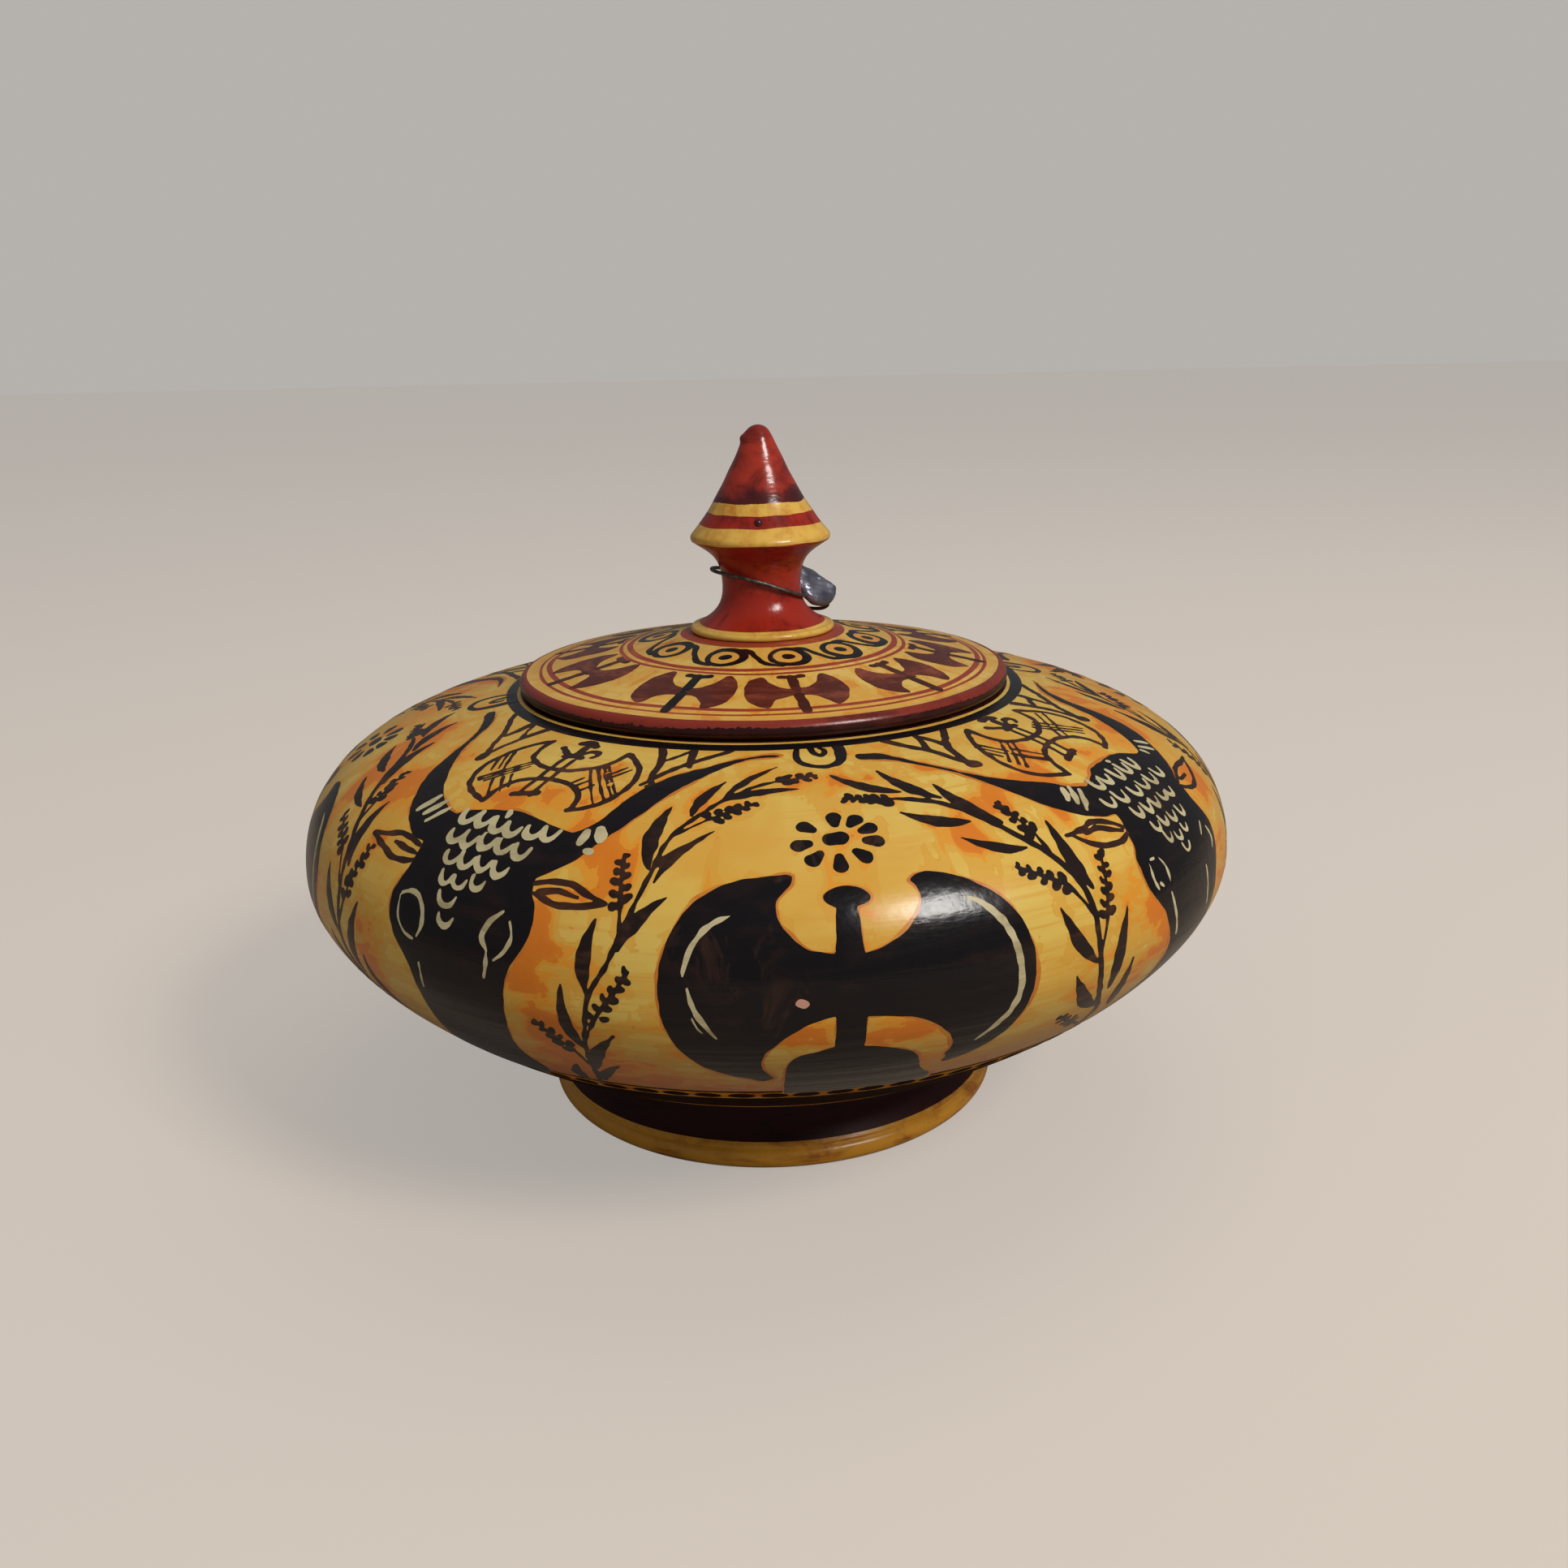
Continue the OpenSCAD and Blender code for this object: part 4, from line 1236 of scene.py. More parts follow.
# %% Skins of the frieze
def repeat(o, material, **inputs):
    """Run the tree on an object, and keep the result as its mesh."""
    modifier = o.modifiers.new("repeat", "NODES")
    modifier.node_group = TREE
    for key, value in dict(inputs, Material=M[material]).items():
        modifier[IDS[key]] = value
    result = bpy.data.meshes.new_from_object(o.evaluated_get(bpy.context.evaluated_depsgraph_get()))
    o.modifiers.remove(modifier)
    single, o.data = o.data, result
    bpy.data.meshes.remove(single)
    result.materials.clear()
    print(o.name, "after repeat:", len(result.polygons))


for sheet, name, key, lifts in ((halo, "frieze_halo", "halo", (.012, .022, .42, 1)),
                                (ink, "frieze_dark", "dark", (.03, .07)),
                                (sprays, "frieze_sprays", "spray", (.038, .078)),
                                (thin, "frieze_lines", "brown", (.045, .085)),
                                (cream, "frieze_cream", "cream", (.085, .13)),
                                (chip, "frieze_chip", "pink", (.08, .085))):
    o = sheet.skin(name, on_wall, *lifts)
    repeat(o, key, Count=2, Step=180.0)
    dress(o, [key], "pot", "painted_clay")

# %% [markdown]
# ## The bowl
# Seen from the side, dark bands lie under the belly, straw ground carries the frieze, and a dark
# ring stands at the mouth. The inside and the underside are bare clay. All of it is one turned
# surface, and each band starts at its own length up the wall.

# %% Bowl
def raw_clay():
    """Bare fired clay: cloudy, matt and a little rough."""
    n = Finish("raw_clay")
    both = n.total((n.noise(120, 5), .6), (n.streaks(2.5, 900, 4, .6), .4))
    n.set(Base_Color=n.ramp(both, [(.35, lin((150, 92, 66))), (.65, lin((186, 126, 94)))]),
          Roughness=.75)
    n.bump(both, .5, .0003)
    return n.mat


M["clay"] = raw_clay()
TURNS = 560
WALL_START = 46
BANDS = [(-2.4, .5, 0, 14), (23.5, .3, 0, 1), (27.2, .3, 0, 2), (41.3, .25, 0, 3), (46.5, .3, 0, 4),
         (133.1, .35, .03, 6), (135.7, .2, .03, 7), (136.5, .15, 0, 9), (140.3, .1, 0, 8)]
bowl_bands = band_edges(TURNS, [(WALL_START + up, *rest) for up, *rest in BANDS])
thin_line = bowl_bands[4][1] + wander(TURNS, .1, (7, 11, 17, 29), seed=5)
bowl_bands.insert(5, (WALL_START + 47.5, thin_line))
bowl = lathe("bowl_clay", bowl_line, TURNS, 6, bowl_bands)

# %% [markdown]
# ## Orange washes
# The orange pools where the painter wetted the ground again: by the horns, under the axes and along
# the figures' edges. Low on the belly it is deepened further, partly such a wash and partly painted
# shade. A picture could mask them. Here the wash is a value at each point of the mesh, summed from
# soft spots, and the ground's nodes read it as an attribute.

# %% Orange washes
WASHES = [
    (-67, 106, 6, 12, .55), (-72, 118, 6, 6, .45), (-56, 104, 4, 8, .5), (-62, 76, 5, 9, .4),
    (-47, 72, 3.4, 10, .5), (-56, 118, 5, 4, .4), (-24, 119, 4, 8, .4), (-34, 111, 9, 5, .42),
    (-44, 118, 4, 7, .3), (-20, 104, 4, 6, .45), (-17, 97, 4, 6, .6), (-12, 116, 5, 8, .3),
    (-23.5, 80, 3, 9, .65), (-22.8, 65, 3.4, 8, .55), (-24, 53, 5, 6, .4), (-14, 58, 7, 6, .4),
    (3, 68.6, 3.4, 3.4, .55), (13.6, 68, 4.6, 3.6, .6), (17, 60, 1.8, 5, .4), (1, 87, 2, 4, .3),
    (23, 101, 3.4, 3.6, .62), (27.5, 107, 4, 4, .5), (36, 101, 2.4, 4, .55), (38, 113, 6, 7, .45),
    (43, 123, 5, 7, .4), (48, 114, 8, 5, .35), (46, 75, 3, 8, .62), (41, 80, 3, 5, .4),
    (42.6, 66, 3, 4, .5), (66, 74, 6, 12, .5), (68, 92, 5, 5, .55), (74, 112, 8, 9, .55),
    (62, 112, 6, 5, .4), (80, 124, 6, 6, .5), (31, 110, 5, 6, .35), (22, 53, 4, 4, .35),
    (6, 48, 60, 3, .22), (25, 121, 2, 2, .5), (-86, 112, 6, 8, .4), (-92, 70, 5, 8, .45),
    (-49, 93.6, 3.4, 1.8, .5), (-20.5, 92, 3.4, 1.8, .5), (39.5, 95, 3.4, 1.8, .45),
    (67, 95.4, 3.6, 2, .5), (19.5, 106, 1.2, 1.8, .75), (15.5, 120.4, 1, 1.3, .7),
    (46, 84, 1.8, 3, .6), (-20, 70, 1.2, 1.6, .5), (8, 121, 6, 3, .3), (-8, 50, 8, 5, .3)]
x, y, z = read_points(bowl).T
u = np.degrees(np.arctan2(x, -y))
belly = len(UNDER)
v = np.where(z < BELLY, np.interp(z, UNDER[:, 1], WALL_S[:belly]),
             np.interp(z, SHOULDER[:, 1], WALL_S[belly-1:]))
drawn = (u + 100) % 180 - 100
d = np.maximum(ink.value(drawn, v), sprays.value(drawn, v))
# The last term, growing towards the foot, is painted shade on the lower belly.
wash_and_shade = .09 + .26*np.exp(-np.maximum(-d, 0)/2.2) + .26*np.clip((64 - v)/18, 0, 1)**1.5
for at_u, at_v, wide, high, strength in WASHES:
    du = (u - at_u + 90) % 180 - 90
    wash_and_shade = wash_and_shade + strength*np.exp(-((du/wide)**2 + ((v - at_v)/high)**2)**1.5)
attribute = bowl.data.attributes.new("wash_and_shade", "FLOAT", "POINT")
attribute.data.foreach_set("value", np.clip(wash_and_shade, 0, 1).astype(np.float32))
dress(bowl, ["clay", "low_brown", "low_ground", "low_brown", "low_ground", "low_brown", "ground",
             "dark", "ground", "rim_dark", "clay"], "pot", "painted_clay", "bowl")
print("mean wash: %.2f" % wash_and_shade.mean())

# %% [markdown]
# ## Chain of dabs
# A chain of pointed dabs runs round under the frieze. Ninety separate drawings would all be alike,
# so one dab is laid on the wall and repeated by the tree, with a little jitter in its place.

# %% Chain of dabs
DABS = 90
dab = Sheet(-3, 3, 40, 48, .1, .15, mm_per_degree, 2)
dab.stroke([(u, 43.9) for u in (-1.45, -.8, 0, .8, 1.45)], [.6, 2.6, 3.7, 2.6, .6])
dab.wobble(.05, 5)
chain = dab.skin("chain_dabs", on_wall, step=.3, grid=.9)
repeat(chain, "low_brown", Count=DABS, Step=360/DABS, Jitter=.12, Seed=4)
dress(chain, ["low_brown"], "pot", "painted_clay")

# %% [markdown]
# ## Foot ring
# The bowl stands on a turned ring with a rolled lip. The lip was left in straw slip and the ring
# above it is nearly black. It is a closed outline that never meets the axis, so it has no poles.

# %% Foot ring
foot_line = np.vstack([[(43.5, 0), (48.5, 0)], arc((48.5, 2.5), 2.5, -75, 66, 12),
                       curve([(50, 5), (47.8, 7.4), (46.6, 10), (46, FOOT_TOP)], 24),
                       [(40.5, FOOT_TOP), (43.5, 0)]])
foot_bands = band_edges(480, [(5.2, .05, 0, 11), (13.3, .3, 0, 12), (22.6, .05, 0, 13)])
foot = lathe("foot_clay", foot_line, 480, .8, foot_bands)
dress(foot, ["clay", "lip", "foot_dark", "clay"], "pot", "foot_slip", "foot_ring")

# %% [markdown]
# ## The lid
# The lid is a shallow cone with pairs of thin red lines. Its rim is red and was brushed unevenly,
# with dry bristle marks along its lower edge. Both sides of a thin line stray together, so the
# second side's edge is the first one's plus a little of its own.

# %% Lid outline
CONE = curve([(50.5, 96), (40.2, 98), (26.6, 101.03), (15.6, 103.4)], 60)
lid_under = offset(CONE, CLAY)[::-1]
lid_line = np.vstack([[(0, 103.4)], CONE[::-1], arc((51.2, 94.2), 1.8, 80, 0, 8),
                      arc((51.2, 94), 1.8, 0, -90, 8), [(46.5, 92.2), (46.5, 85), (45.7, 84.2)],
                      [(43.8, 84.2), (43, 85), (43, 91.2)],
                      lid_under[lid_under[:, 0] < 42][::-1], [(0, 98.4)]])
lid_length = lengths(lid_line)
n_top = len(CONE) + 1
RIM = float(lid_length[n_top])
print("from the lid's middle to its rim: %.1f mm" % RIM)

# %% [markdown]
# Nobody looks at the lid's underside for long, so past the length at which it turns under, only
# every third row of the mesh is kept. The rim's lower edge takes two more waves: fine bristle
# marks, and patches that say where they show.

# %% Lid
LID_TURNS = 720
SEEN_TO = 62
LID_LINES = [(17.9, .12), (28.1, .3), (29.4, 0), (30.3, .35), (31.1, 0), (45.9, .3), (47.1, 0),
             (48, .35), (48.7, 0)]
lid_bands = []
for i, (radius, size) in enumerate(LID_LINES):
    if size:
        edge = wander(LID_TURNS, size, seed=20 + i)
    else:
        edge = edge + wander(LID_TURNS, .1, (5, 8, 13, 21), seed=40 + i)
    at = np.interp(radius, lid_line[:n_top, 0], lid_length[:n_top])
    lid_bands.append((float(at), edge))
bristles = np.random.default_rng(35).integers(70, 330, 60).tolist()
ragged = np.abs(wander(LID_TURNS, 1, bristles, seed=36))
patchy = np.clip(.45 + wander(LID_TURNS, .9, (1, 2, 3, 5, 7, 11), seed=37), 0, 1)
rim_bands = band_edges(LID_TURNS, [(RIM - .3, .25, .05, 31), (RIM + 2.1, .4, 0, 32),
                                   (RIM + 6.6, .2, .12, 33)])
rim_bands[1] = (rim_bands[1][0], rim_bands[1][1] - 1.3*ragged*patchy)
lid = lathe("lid_clay", lid_line, LID_TURNS, 1.1, lid_bands + rim_bands,
            wanted=lambda length, i: length < SEEN_TO or i % 3 == 0)
dress(lid, ["line_red", "lid_ground"]*5 + ["rim_red", "rim_dark", "clay"], "cover", "painted_lid",
      "lid")

# %% [markdown]
# ## The knob
# The knob was turned in one piece: a collar, a waisted neck, a flared bulb and a pointed tip. It is
# red with yellow bands, and the red of the tip settled dark towards its lower edge. A plain colour
# ramp up its height gives that, once a cloud of noise has made the ramp's edge uneven.

# %% Knob outline and tip slip
SEAT = 103.4
knob_line = np.vstack([[(0, 0)], arc((14.85, .75), .75, -90, 90, 8),
                       curve([(14.4, 1.5), (11, 3.3), (8.45, 5), (8.45, 9.6)], 30),
                       curve([(8.45, 9.6), (8.45, 15.8), (10.6, 16.8), (14.22, 19.16)], 30)[1:],
                       arc((13.7, 20.2), 1.3, -30, 40, 6),
                       curve([(14.42, 21.36), (11.6, 24.6), (8.3, 29.4), (3, 41.1)], 40),
                       [(2.85*math.cos(w), 40.7 + 2.7*math.sin(w))
                        for w in np.radians(np.arange(20, 91, 10))]])
knob_line[-1, 0] = 0
knob_line[:, 1] += SEAT


def tip_red():
    n = Finish("tip_slip")
    z = n.node("ShaderNodeSeparateXYZ", {0: n.place}).outputs[2]
    low = n.math("MULTIPLY", n.math("SUBTRACT", (SEAT + 31.6)*MM, z), 320)
    cloud = n.noise(90, 5, .6, (1, 1, 2), .7)
    sunk = n.math("ADD", low, n.math("MULTIPLY", n.math("SUBTRACT", cloud, .5), 2.2))
    red = n.mix(n.ramp(cloud, [(.42, 0), (.7, .8)]), lin((160, 50, 35)), lin((92, 26, 24)))
    n.set(Base_Color=n.mix(n.ramp(sunk, [(.1, 0), (.9, .9)]), red, lin((58, 24, 28))))
    varnish(n, .2)
    n.bump(n.total((n.noise(70, 2), .45), (n.noise(330, 2, .5, (1, 1, 2.2)), .25)), .6, .0007)
    return n.mat


M["tip"] = tip_red()
print("the knob's top is at %.1f mm" % knob_line[:, 1].max())

# %% [markdown]
# A perfectly turned knob would look like plastic. The finished mesh is therefore swollen a little
# in slow waves above the neck, and its tip leans to one side, as the slip that ran there did.

# %% Knob
KNOB_TURNS = 360
knob_length = lengths(knob_line)
collar = 10
KNOB_BANDS = [(1.9, .15, 0, 51), (19.7, .3, 0, 52), (23.2, .35, 0, 53), (25.6, .3, 0, 54),
              (28, .35, .05, 55)]
rows = [(float(np.interp(up + SEAT, knob_line[collar:, 1], knob_length[collar:])), *rest)
        for up, *rest in KNOB_BANDS]
knob = lathe("knob_clay", knob_line, KNOB_TURNS, .6, band_edges(KNOB_TURNS, rows))
p = read_points(knob)
h, a, r = p[:, 2] - SEAT, np.arctan2(p[:, 0], -p[:, 1]), np.hypot(p[:, 0], p[:, 1])
tip = .7*np.exp(-((h - 40.9)/.9)**2 - ((a + 1.4)/.7)**2)
waves = np.sin(3*a + .35*h)*np.sin(.8*h)*(h > 20.5)*np.clip((41.5 - h)/4, 0, 1)
p[:, :2] *= (1 + (tip + .07*waves)/np.maximum(r, 1))[:, None]
knob.data.vertices.foreach_set("co", (p*MM).reshape(-1))
knob.data.update()
dress(knob, ["yellow", "red", "yellow", "red", "yellow", "tip"], "cover", "red_slip", "knob")
print("uneven by up to %.2f mm" % np.abs(tip + .07*waves).max())

# %% [markdown]
# A drop of slip dried as a pimple on the knob's red band. It is a small ball, slightly dented by a
# sine wave and sunk into the band, which is simpler than raising it out of the turned mesh.

# %% Slip pimple
PIMPLE_RADIUS = .95*MM
bm = bmesh.new()
bmesh.ops.create_icosphere(bm, subdivisions=3, radius=PIMPLE_RADIUS)
pimple_at = Vector((-.4, -11.7, SEAT + 24.2))*MM
for vert in bm.verts:
    vert.co = vert.co*(1 + .16*math.sin(2100*vert.co.x + 1)) + pimple_at
ball = bpy.data.meshes.new("slip_pimple")
bm.to_mesh(ball)
bm.free()
dress(add_object("slip_pimple", ball), ["tip"], "cover", "red_slip")
print("slip pimple:", len(ball.polygons), "triangles")

# %% [markdown]
# ## Double axes on the lid
# Ten double axes in red slip stand round the lid, with brown or black hafts. They were painted
# freehand, so each has its own angle, size and blade. They are drawn on a plan of the lid, seen
# from above in millimetres, and laid down on its cone.

# %% Double axes on the lid
def on_lid(x, y, lift):
    """A point of the plan of the lid, set down on its cone."""
    z = np.interp(np.hypot(x, y), CONE[::-1, 0], CONE[::-1, 1])
    return np.stack([x, y, z + lift], -1)*MM


HALF_PLAN = 54
axes_sheet, dots_sheet, haft_sheet, black_sheet = [
    Sheet(-HALF_PLAN, HALF_PLAN, -HALF_PLAN, HALF_PLAN, .22, .22, np.ones_like, 2.5)
    for _ in range(4)]
BLADE = [
    (.8, -1.2), (2.8, -2.2), (4.6, -4.6), (5.6, -7.6), (6.6, -7.9), (9, -5.4), (10.2, -1.6),
    (10.1, 2), (8.9, 4.9), (7, 6.6), (6.2, 6), (5.2, 3.8), (3.2, 2), (.8, 1.5)]
AXE_RING = 39
AXE_ANGLES = [10, 47, 81, 116, 151, 186, 221, 256, 292, 336]
BLACK_HAFTS = (3, 6, 9)


def lid_axe(angle, seed, haft):
    g = np.random.default_rng(seed)
    a = math.radians(angle + g.normal()*.5)
    out = np.array([math.sin(a), -math.cos(a)])
    side = np.array([math.cos(a), math.sin(a)])
    size = 1 + g.normal()*.03

    def placed(points):
        return [tuple(side*p[0]*size + out*(AXE_RING + p[1]*size)) for p in points]

    for mirror in (1, -1):
        blade = [(x*mirror*(1 + g.normal()*.02), y + g.normal()*.25) for x, y in BLADE]
        axes_sheet.shape(placed(blade), (0, 4, 9, 13))
    axes_sheet.shape(placed([(-2, -1.3), (2, -1.3), (2, 1.8), (-2, 1.8)]), (0, 1, 2, 3))
    haft.stroke(placed([(0, -6.5), (.1, 0), (.2, 8.6)]), [2, 2.1, 2.2])
    haft.stroke(placed([(-2.2, -6.8), (0, -6.4), (2.3, -6.9)]), [1.5, 1.4, 1.6])


for i, angle in enumerate(AXE_ANGLES):
    lid_axe(angle, 60 + i, black_sheet if i in BLACK_HAFTS else haft_sheet)
axes_sheet.wobble(.09, 8)
haft_sheet.wobble(.08, 18)
print("axes on the lid:", len(AXE_ANGLES))

# %% [markdown]
# ## Running spiral
# A chain of rings runs round the knob. Each ring has an orange middle with a dot in it, and a
# slanting stroke leads on to the next. One loop draws them all, from the angles of their centres.

# %% Running spiral
SPIRAL_RING = 23
RING_RADIUS = 3.75
CENTRES = np.radians([-96, -56.5, -19.7, 13, 44.5, 77.7, 114, 151, 188, 226, 264])
ROUND = np.linspace(0, 6.283, 10, endpoint=False)
for i, (a, b) in enumerate(zip(CENTRES[:-1], CENTRES[1:])):
    c = np.array([math.sin(a), -math.cos(a)])*SPIRAL_RING
    ring = [c + (RING_RADIUS + .12*math.sin(3*t + i))*np.array([math.cos(t), math.sin(t)])
            for t in ROUND]
    black_sheet.stroke(ring, [1.55 + .4*math.sin(t + a + math.pi/2) for t in ROUND], True)
    black_sheet.stroke([c - [.2, 0], c + [.2, .1]], 2.4)
    slant = [(a + .10, 19.3), (a + .2, 19.8), ((a + b)/2, 23), (b - .2, 26), (b - .08, 26.9)]
    black_sheet.stroke([(math.sin(t)*r, -math.cos(t)*r) for t, r in slant],
                       [1.1, 1.4, 1.2, 1.4, 1.1])
    dots_sheet.stroke([c - [.1, 0], c + [.1, 0]], 6.6)
black_sheet.wobble(.06, 9)
for sheet, name, key, lifts in ((dots_sheet, "lid_orange", "orange", (.02, .03)),
                                (axes_sheet, "lid_axes", "axe_red", (.03, .07)),
                                (haft_sheet, "lid_hafts", "haft", (.05, .085)),
                                (black_sheet, "lid_spirals", "dark", (.05, .09))):
    o = sheet.skin(name, on_lid, *lifts, step=.34, grid=1.2)
    dress(o, [key], "cover", "painted_lid")

# %% [markdown]
# ## Wire tie
# A soft steel wire goes once round the knob's neck and hangs lower on one side. Its route is a
# list of points, given as angle, distance and height, and a round section is swept along it.
# A curve with a bevel would do the same; a mesh is made at once because that is what is kept.

# %% Wire
def metal(name, dark, light, rough, metallic, scale, bump):
    """Dull metal, cloudy in colour and in gloss."""
    n = Finish(name)
    cloud = n.noise(scale, 5, .6, distort=.5)
    gloss = n.math("ADD", n.math("MULTIPLY", n.noise(scale*2.3, 3), .25), rough - .12)
    n.set(Base_Color=n.ramp(cloud, [(.35, lin(dark)), (.68, lin(light))]), Metallic=metallic,
          Roughness=gloss)
    n.bump(n.noise(scale*1.7, 4), bump, .0003)
    return n.mat


def tube(name, line, radius):
    """A round section swept along a smooth line, with flat ends."""
    sides = 14
    up = np.array([0, 0, 1.])
    line = spline(line, False, .35)
    points = []
    for c, way in zip(line, directions(line)):
        a = np.cross(way, up)
        a /= np.linalg.norm(a)
        b = np.cross(a, way)
        turn = [2*math.pi*k/sides for k in range(sides)]
        points += [(c + radius*(math.cos(t)*a + math.sin(t)*b))*MM for t in turn]
    last = (len(line) - 1)*sides
    faces = [(i + k, i + (k + 1) % sides, i + sides + (k + 1) % sides, i + sides + k)
             for i in range(0, last, sides) for k in range(sides)]
    faces += [tuple(range(sides))[::-1], tuple(last + k for k in range(sides))]
    return mesh_object(name, points, faces)


WIRE_RADIUS = .4
ROUTE = [
    (30, 12.6, 8.6), (26, 10.9, 7), (16, 9.9, 6.6), (0, 9.6, 7), (-26, 9.4, 7.9), (-58, 9.3, 9.6),
    (-90, 9.2, 11.5), (-125, 9.7, 12.8), (-160, 10.4, 13.3), (-185, 10.6, 13.3), (-215, 10.4, 12.5),
    (-245, 10.3, 10.6), (-270, 10.4, 8.4), (-288, 11.4, 5.6), (-303, 13, 3.4), (-315, 15, 2.4),
    (-323, 16.8, 2.4), (-328, 17.4, 3.4), (-329, 16.6, 5.2), (-329, 14.6, 7.2)]
M["wire"] = metal("seal_wire_steel", (70, 66, 66), (120, 116, 114), .42, .8, 900, .2)
path = np.array([(far*math.cos(math.radians(angle)), far*math.sin(math.radians(angle)), SEAT + up)
                 for angle, far, up in ROUTE])
wire = tube("tie_wire", path, WIRE_RADIUS)
dress(wire, ["wire"], "tie", "wire", "seal_wire")
print("wire: %.1f mm long" % np.linalg.norm(np.diff(spline(path), axis=0), axis=1).sum())

# %% [markdown]
# ## Lead seal
# The wire's ends are closed in a lead slug that was squeezed with pliers. A slug is turned on the
# lathe first. Then its points are moved: a groove across it, a slope away from the pinch, fine
# creases at one side, a slight stretch and shallow dents. At last it is tilted into its place.

# %% Lead seal
M["lead"] = metal("dull_lead", (98, 98, 110), (140, 140, 154), .34, .7, 240, 1)
half = curve([(0, -1.4), (4.4, -1.45), (5.5, -1.3), (5.5, 0)], 24)
pill = np.vstack([half, half[::-1][1:]*[1, -1]])
seal = lathe("lead_slug", pill, 96, .25)
x, y, z = read_points(seal).T
z = z*(1 - .22*np.exp(-((x - .4*y)**2)/3.2)*(np.hypot(x, y) < 5.6))
z = z + .35 - .3*np.abs(x*.8 + y*.6 - .6)
z = z + .22*np.abs(np.sin(1.5*x + 1.9*y))*np.clip(.5 - y/2.5, 0, 1)
y = y + .15*np.maximum(y, 0)
z = z + .16*np.sin(x*1.3 + .6)*np.cos(y*1.1)*(np.hypot(x, y) < 5.2)
into_place = (Matrix.Translation(Vector((11.8, 8.1, SEAT + 8.3))*MM)
              @ Matrix.Rotation(math.radians(65), 4, "Z") @ Matrix.Rotation(math.radians(43), 4, "X"))
for vert, point in zip(seal.data.vertices, np.stack([x, y, z], 1)):
    vert.co = into_place @ (Vector(point)*MM)
seal.data.update()
dress(seal, ["lead"], "tie", "lead", "lead_seal")

# %% [markdown]
# ## Floor
# The pot stands on a plain pale floor. To look pale without lighting the pot from below, the floor
# glows only for what the camera sees, straight or through glass, and a trace of that shows in the
# varnish. Its own colour stays quiet.

# %% Floor
def stage_material():
    n = Finish("pale_floor")
    rays = n.node("ShaderNodeLightPath").outputs
    seen = n.math("ADD", rays["Is Camera Ray"], n.math("MULTIPLY", rays["Is Glossy Ray"], .06))
    seen = n.math("ADD", seen, rays["Is Transmission Ray"])
    n.set(Base_Color=lin((150, 136, 120)), Roughness=.8, Specular_IOR_Level=.2,
          Emission_Color=lin((236, 230, 224)), Emission_Strength=n.math("MULTIPLY", seen, .45))
    return n.mat


FLOOR_HALF = 6
corners = [(x*FLOOR_HALF, y*FLOOR_HALF, 0) for x, y in ((-1, -1), (1, -1), (1, 1), (-1, 1))]
floor = mesh_object("floor", corners, [(0, 1, 2, 3)], recalc=False)
floor.data.materials.append(stage_material())
print("floor: %d m across" % (2*FLOOR_HALF))

# %% [markdown]
# ## Lights
# One soft light from above right gives the highlight on the varnish. A weak one from the left and
# one from the top fill the shadows. Those two don't show in the varnish, as a bright room's many
# small reflections would only blur the painting.

# %% Lights
def soft_light(name, place, aim, size, power, colour, glossy):
    light = bpy.data.lights.new(name, "AREA")
    light.shape = "RECTANGLE"
    light.size, light.size_y = size
    light.energy, light.color = power, colour
    o = bpy.data.objects.new(name, light)
    o.location = place
    o.rotation_euler = (Vector(aim) - Vector(place)).to_track_quat("-Z", "Y").to_euler()
    o.visible_glossy = glossy
    bpy.context.scene.collection.objects.link(o)


soft_light("key", (.842, -.865, 1.087), (0, 0, .07), (.41, .42), 17.6, (1, .965, .92), True)
soft_light("fill", (-1.1, -.9, .9), (0, 0, .06), (1.0, 1.0), 1.2, (.95, .97, 1), False)
soft_light("top", (.3, .3, 1.4), (0, 0, .08), (1.0, 1.0), 3.5, (1, 1, 1), False)
print("lights:", len(bpy.data.lights))

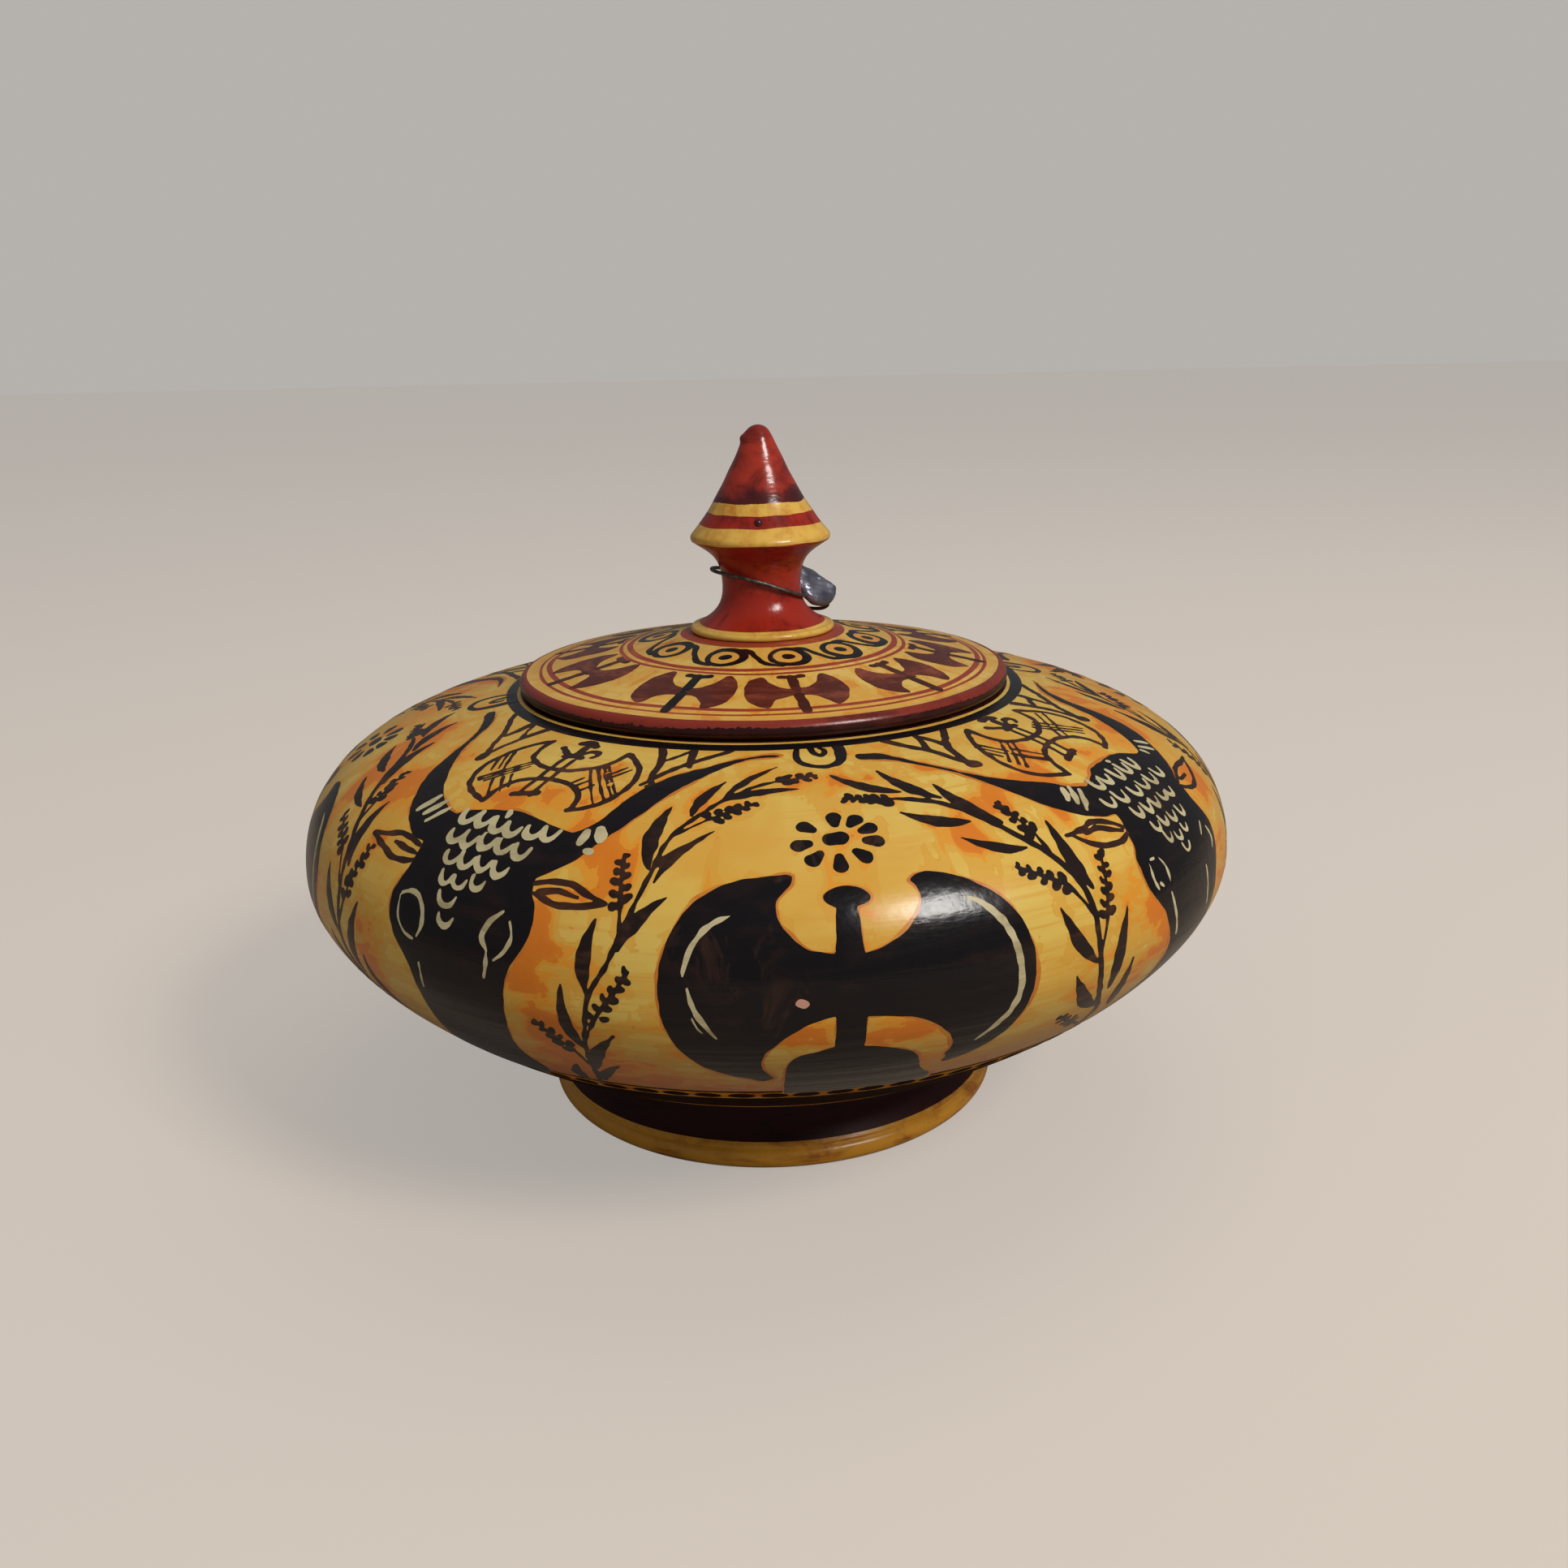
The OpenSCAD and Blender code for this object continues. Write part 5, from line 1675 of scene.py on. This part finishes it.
# %% [markdown]
# ## World
# The world is a grey room that lights the pot weakly. Its brightness is set apart for three kinds
# of ray: what lights the pot, what its varnish mirrors, and what the camera sees behind it.

# %% World
ROOM = ((None, (.80, .80, .82, 1), .33), ("Is Glossy Ray", (.80, .80, .82, 1), .16),
        ("Is Camera Ray", (.80, .765, .725, 1), .58))
world = bpy.data.worlds.new("room")
bpy.context.scene.world = world
world.use_nodes = True
tree = world.node_tree
tree.nodes.clear()
rays = tree.nodes.new("ShaderNodeLightPath").outputs
last = None
for ray, colour, power in ROOM:
    back = tree.nodes.new("ShaderNodeBackground")
    back.inputs["Color"].default_value = colour
    back.inputs["Strength"].default_value = power
    if last is None:
        last = back.outputs[0]
        continue
    mix = tree.nodes.new("ShaderNodeMixShader")
    for socket, value in zip(mix.inputs, (rays[ray], last, back.outputs[0])):
        tree.links.new(value, socket)
    last = mix.outputs[0]
tree.links.new(last, tree.nodes.new("ShaderNodeOutputWorld").inputs[0])
print("kinds of ray:", len(ROOM))

# %% [markdown]
# ## Camera
# The camera stands a little above the pot and looks down on it, close by, so that the near side
# looms as it does to someone who bends over it. It leans by about a degree, as a hand-held one does.

# %% Camera
PITCH, YAW, ROLL = .29732, .012515, -.021601
EYE = (0, -.31499, .16433)
SENSOR = 36
FOCAL_LENGTH, PICTURE_WIDTH = 1800, 1932
forward = Vector((math.sin(YAW)*math.cos(PITCH), math.cos(YAW)*math.cos(PITCH), -math.sin(PITCH)))
level = Vector((math.cos(YAW), -math.sin(YAW), 0))
upright = level.cross(forward)
right = math.cos(ROLL)*level + math.sin(ROLL)*upright
up = -math.sin(ROLL)*level + math.cos(ROLL)*upright
lens = bpy.data.cameras.new("camera")
lens.sensor_width = SENSOR
lens.lens = FOCAL_LENGTH/PICTURE_WIDTH*SENSOR
lens.clip_start = .01
camera = bpy.data.objects.new("camera", lens)
turned = Matrix((right, up, -forward)).transposed().to_4x4()
turned.translation = Vector(EYE)
camera.matrix_world = turned
bpy.context.scene.collection.objects.link(camera)
bpy.context.scene.camera = camera
bpy.context.scene.view_settings.view_transform = "Standard"
print("lens: %.1f mm" % lens.lens)
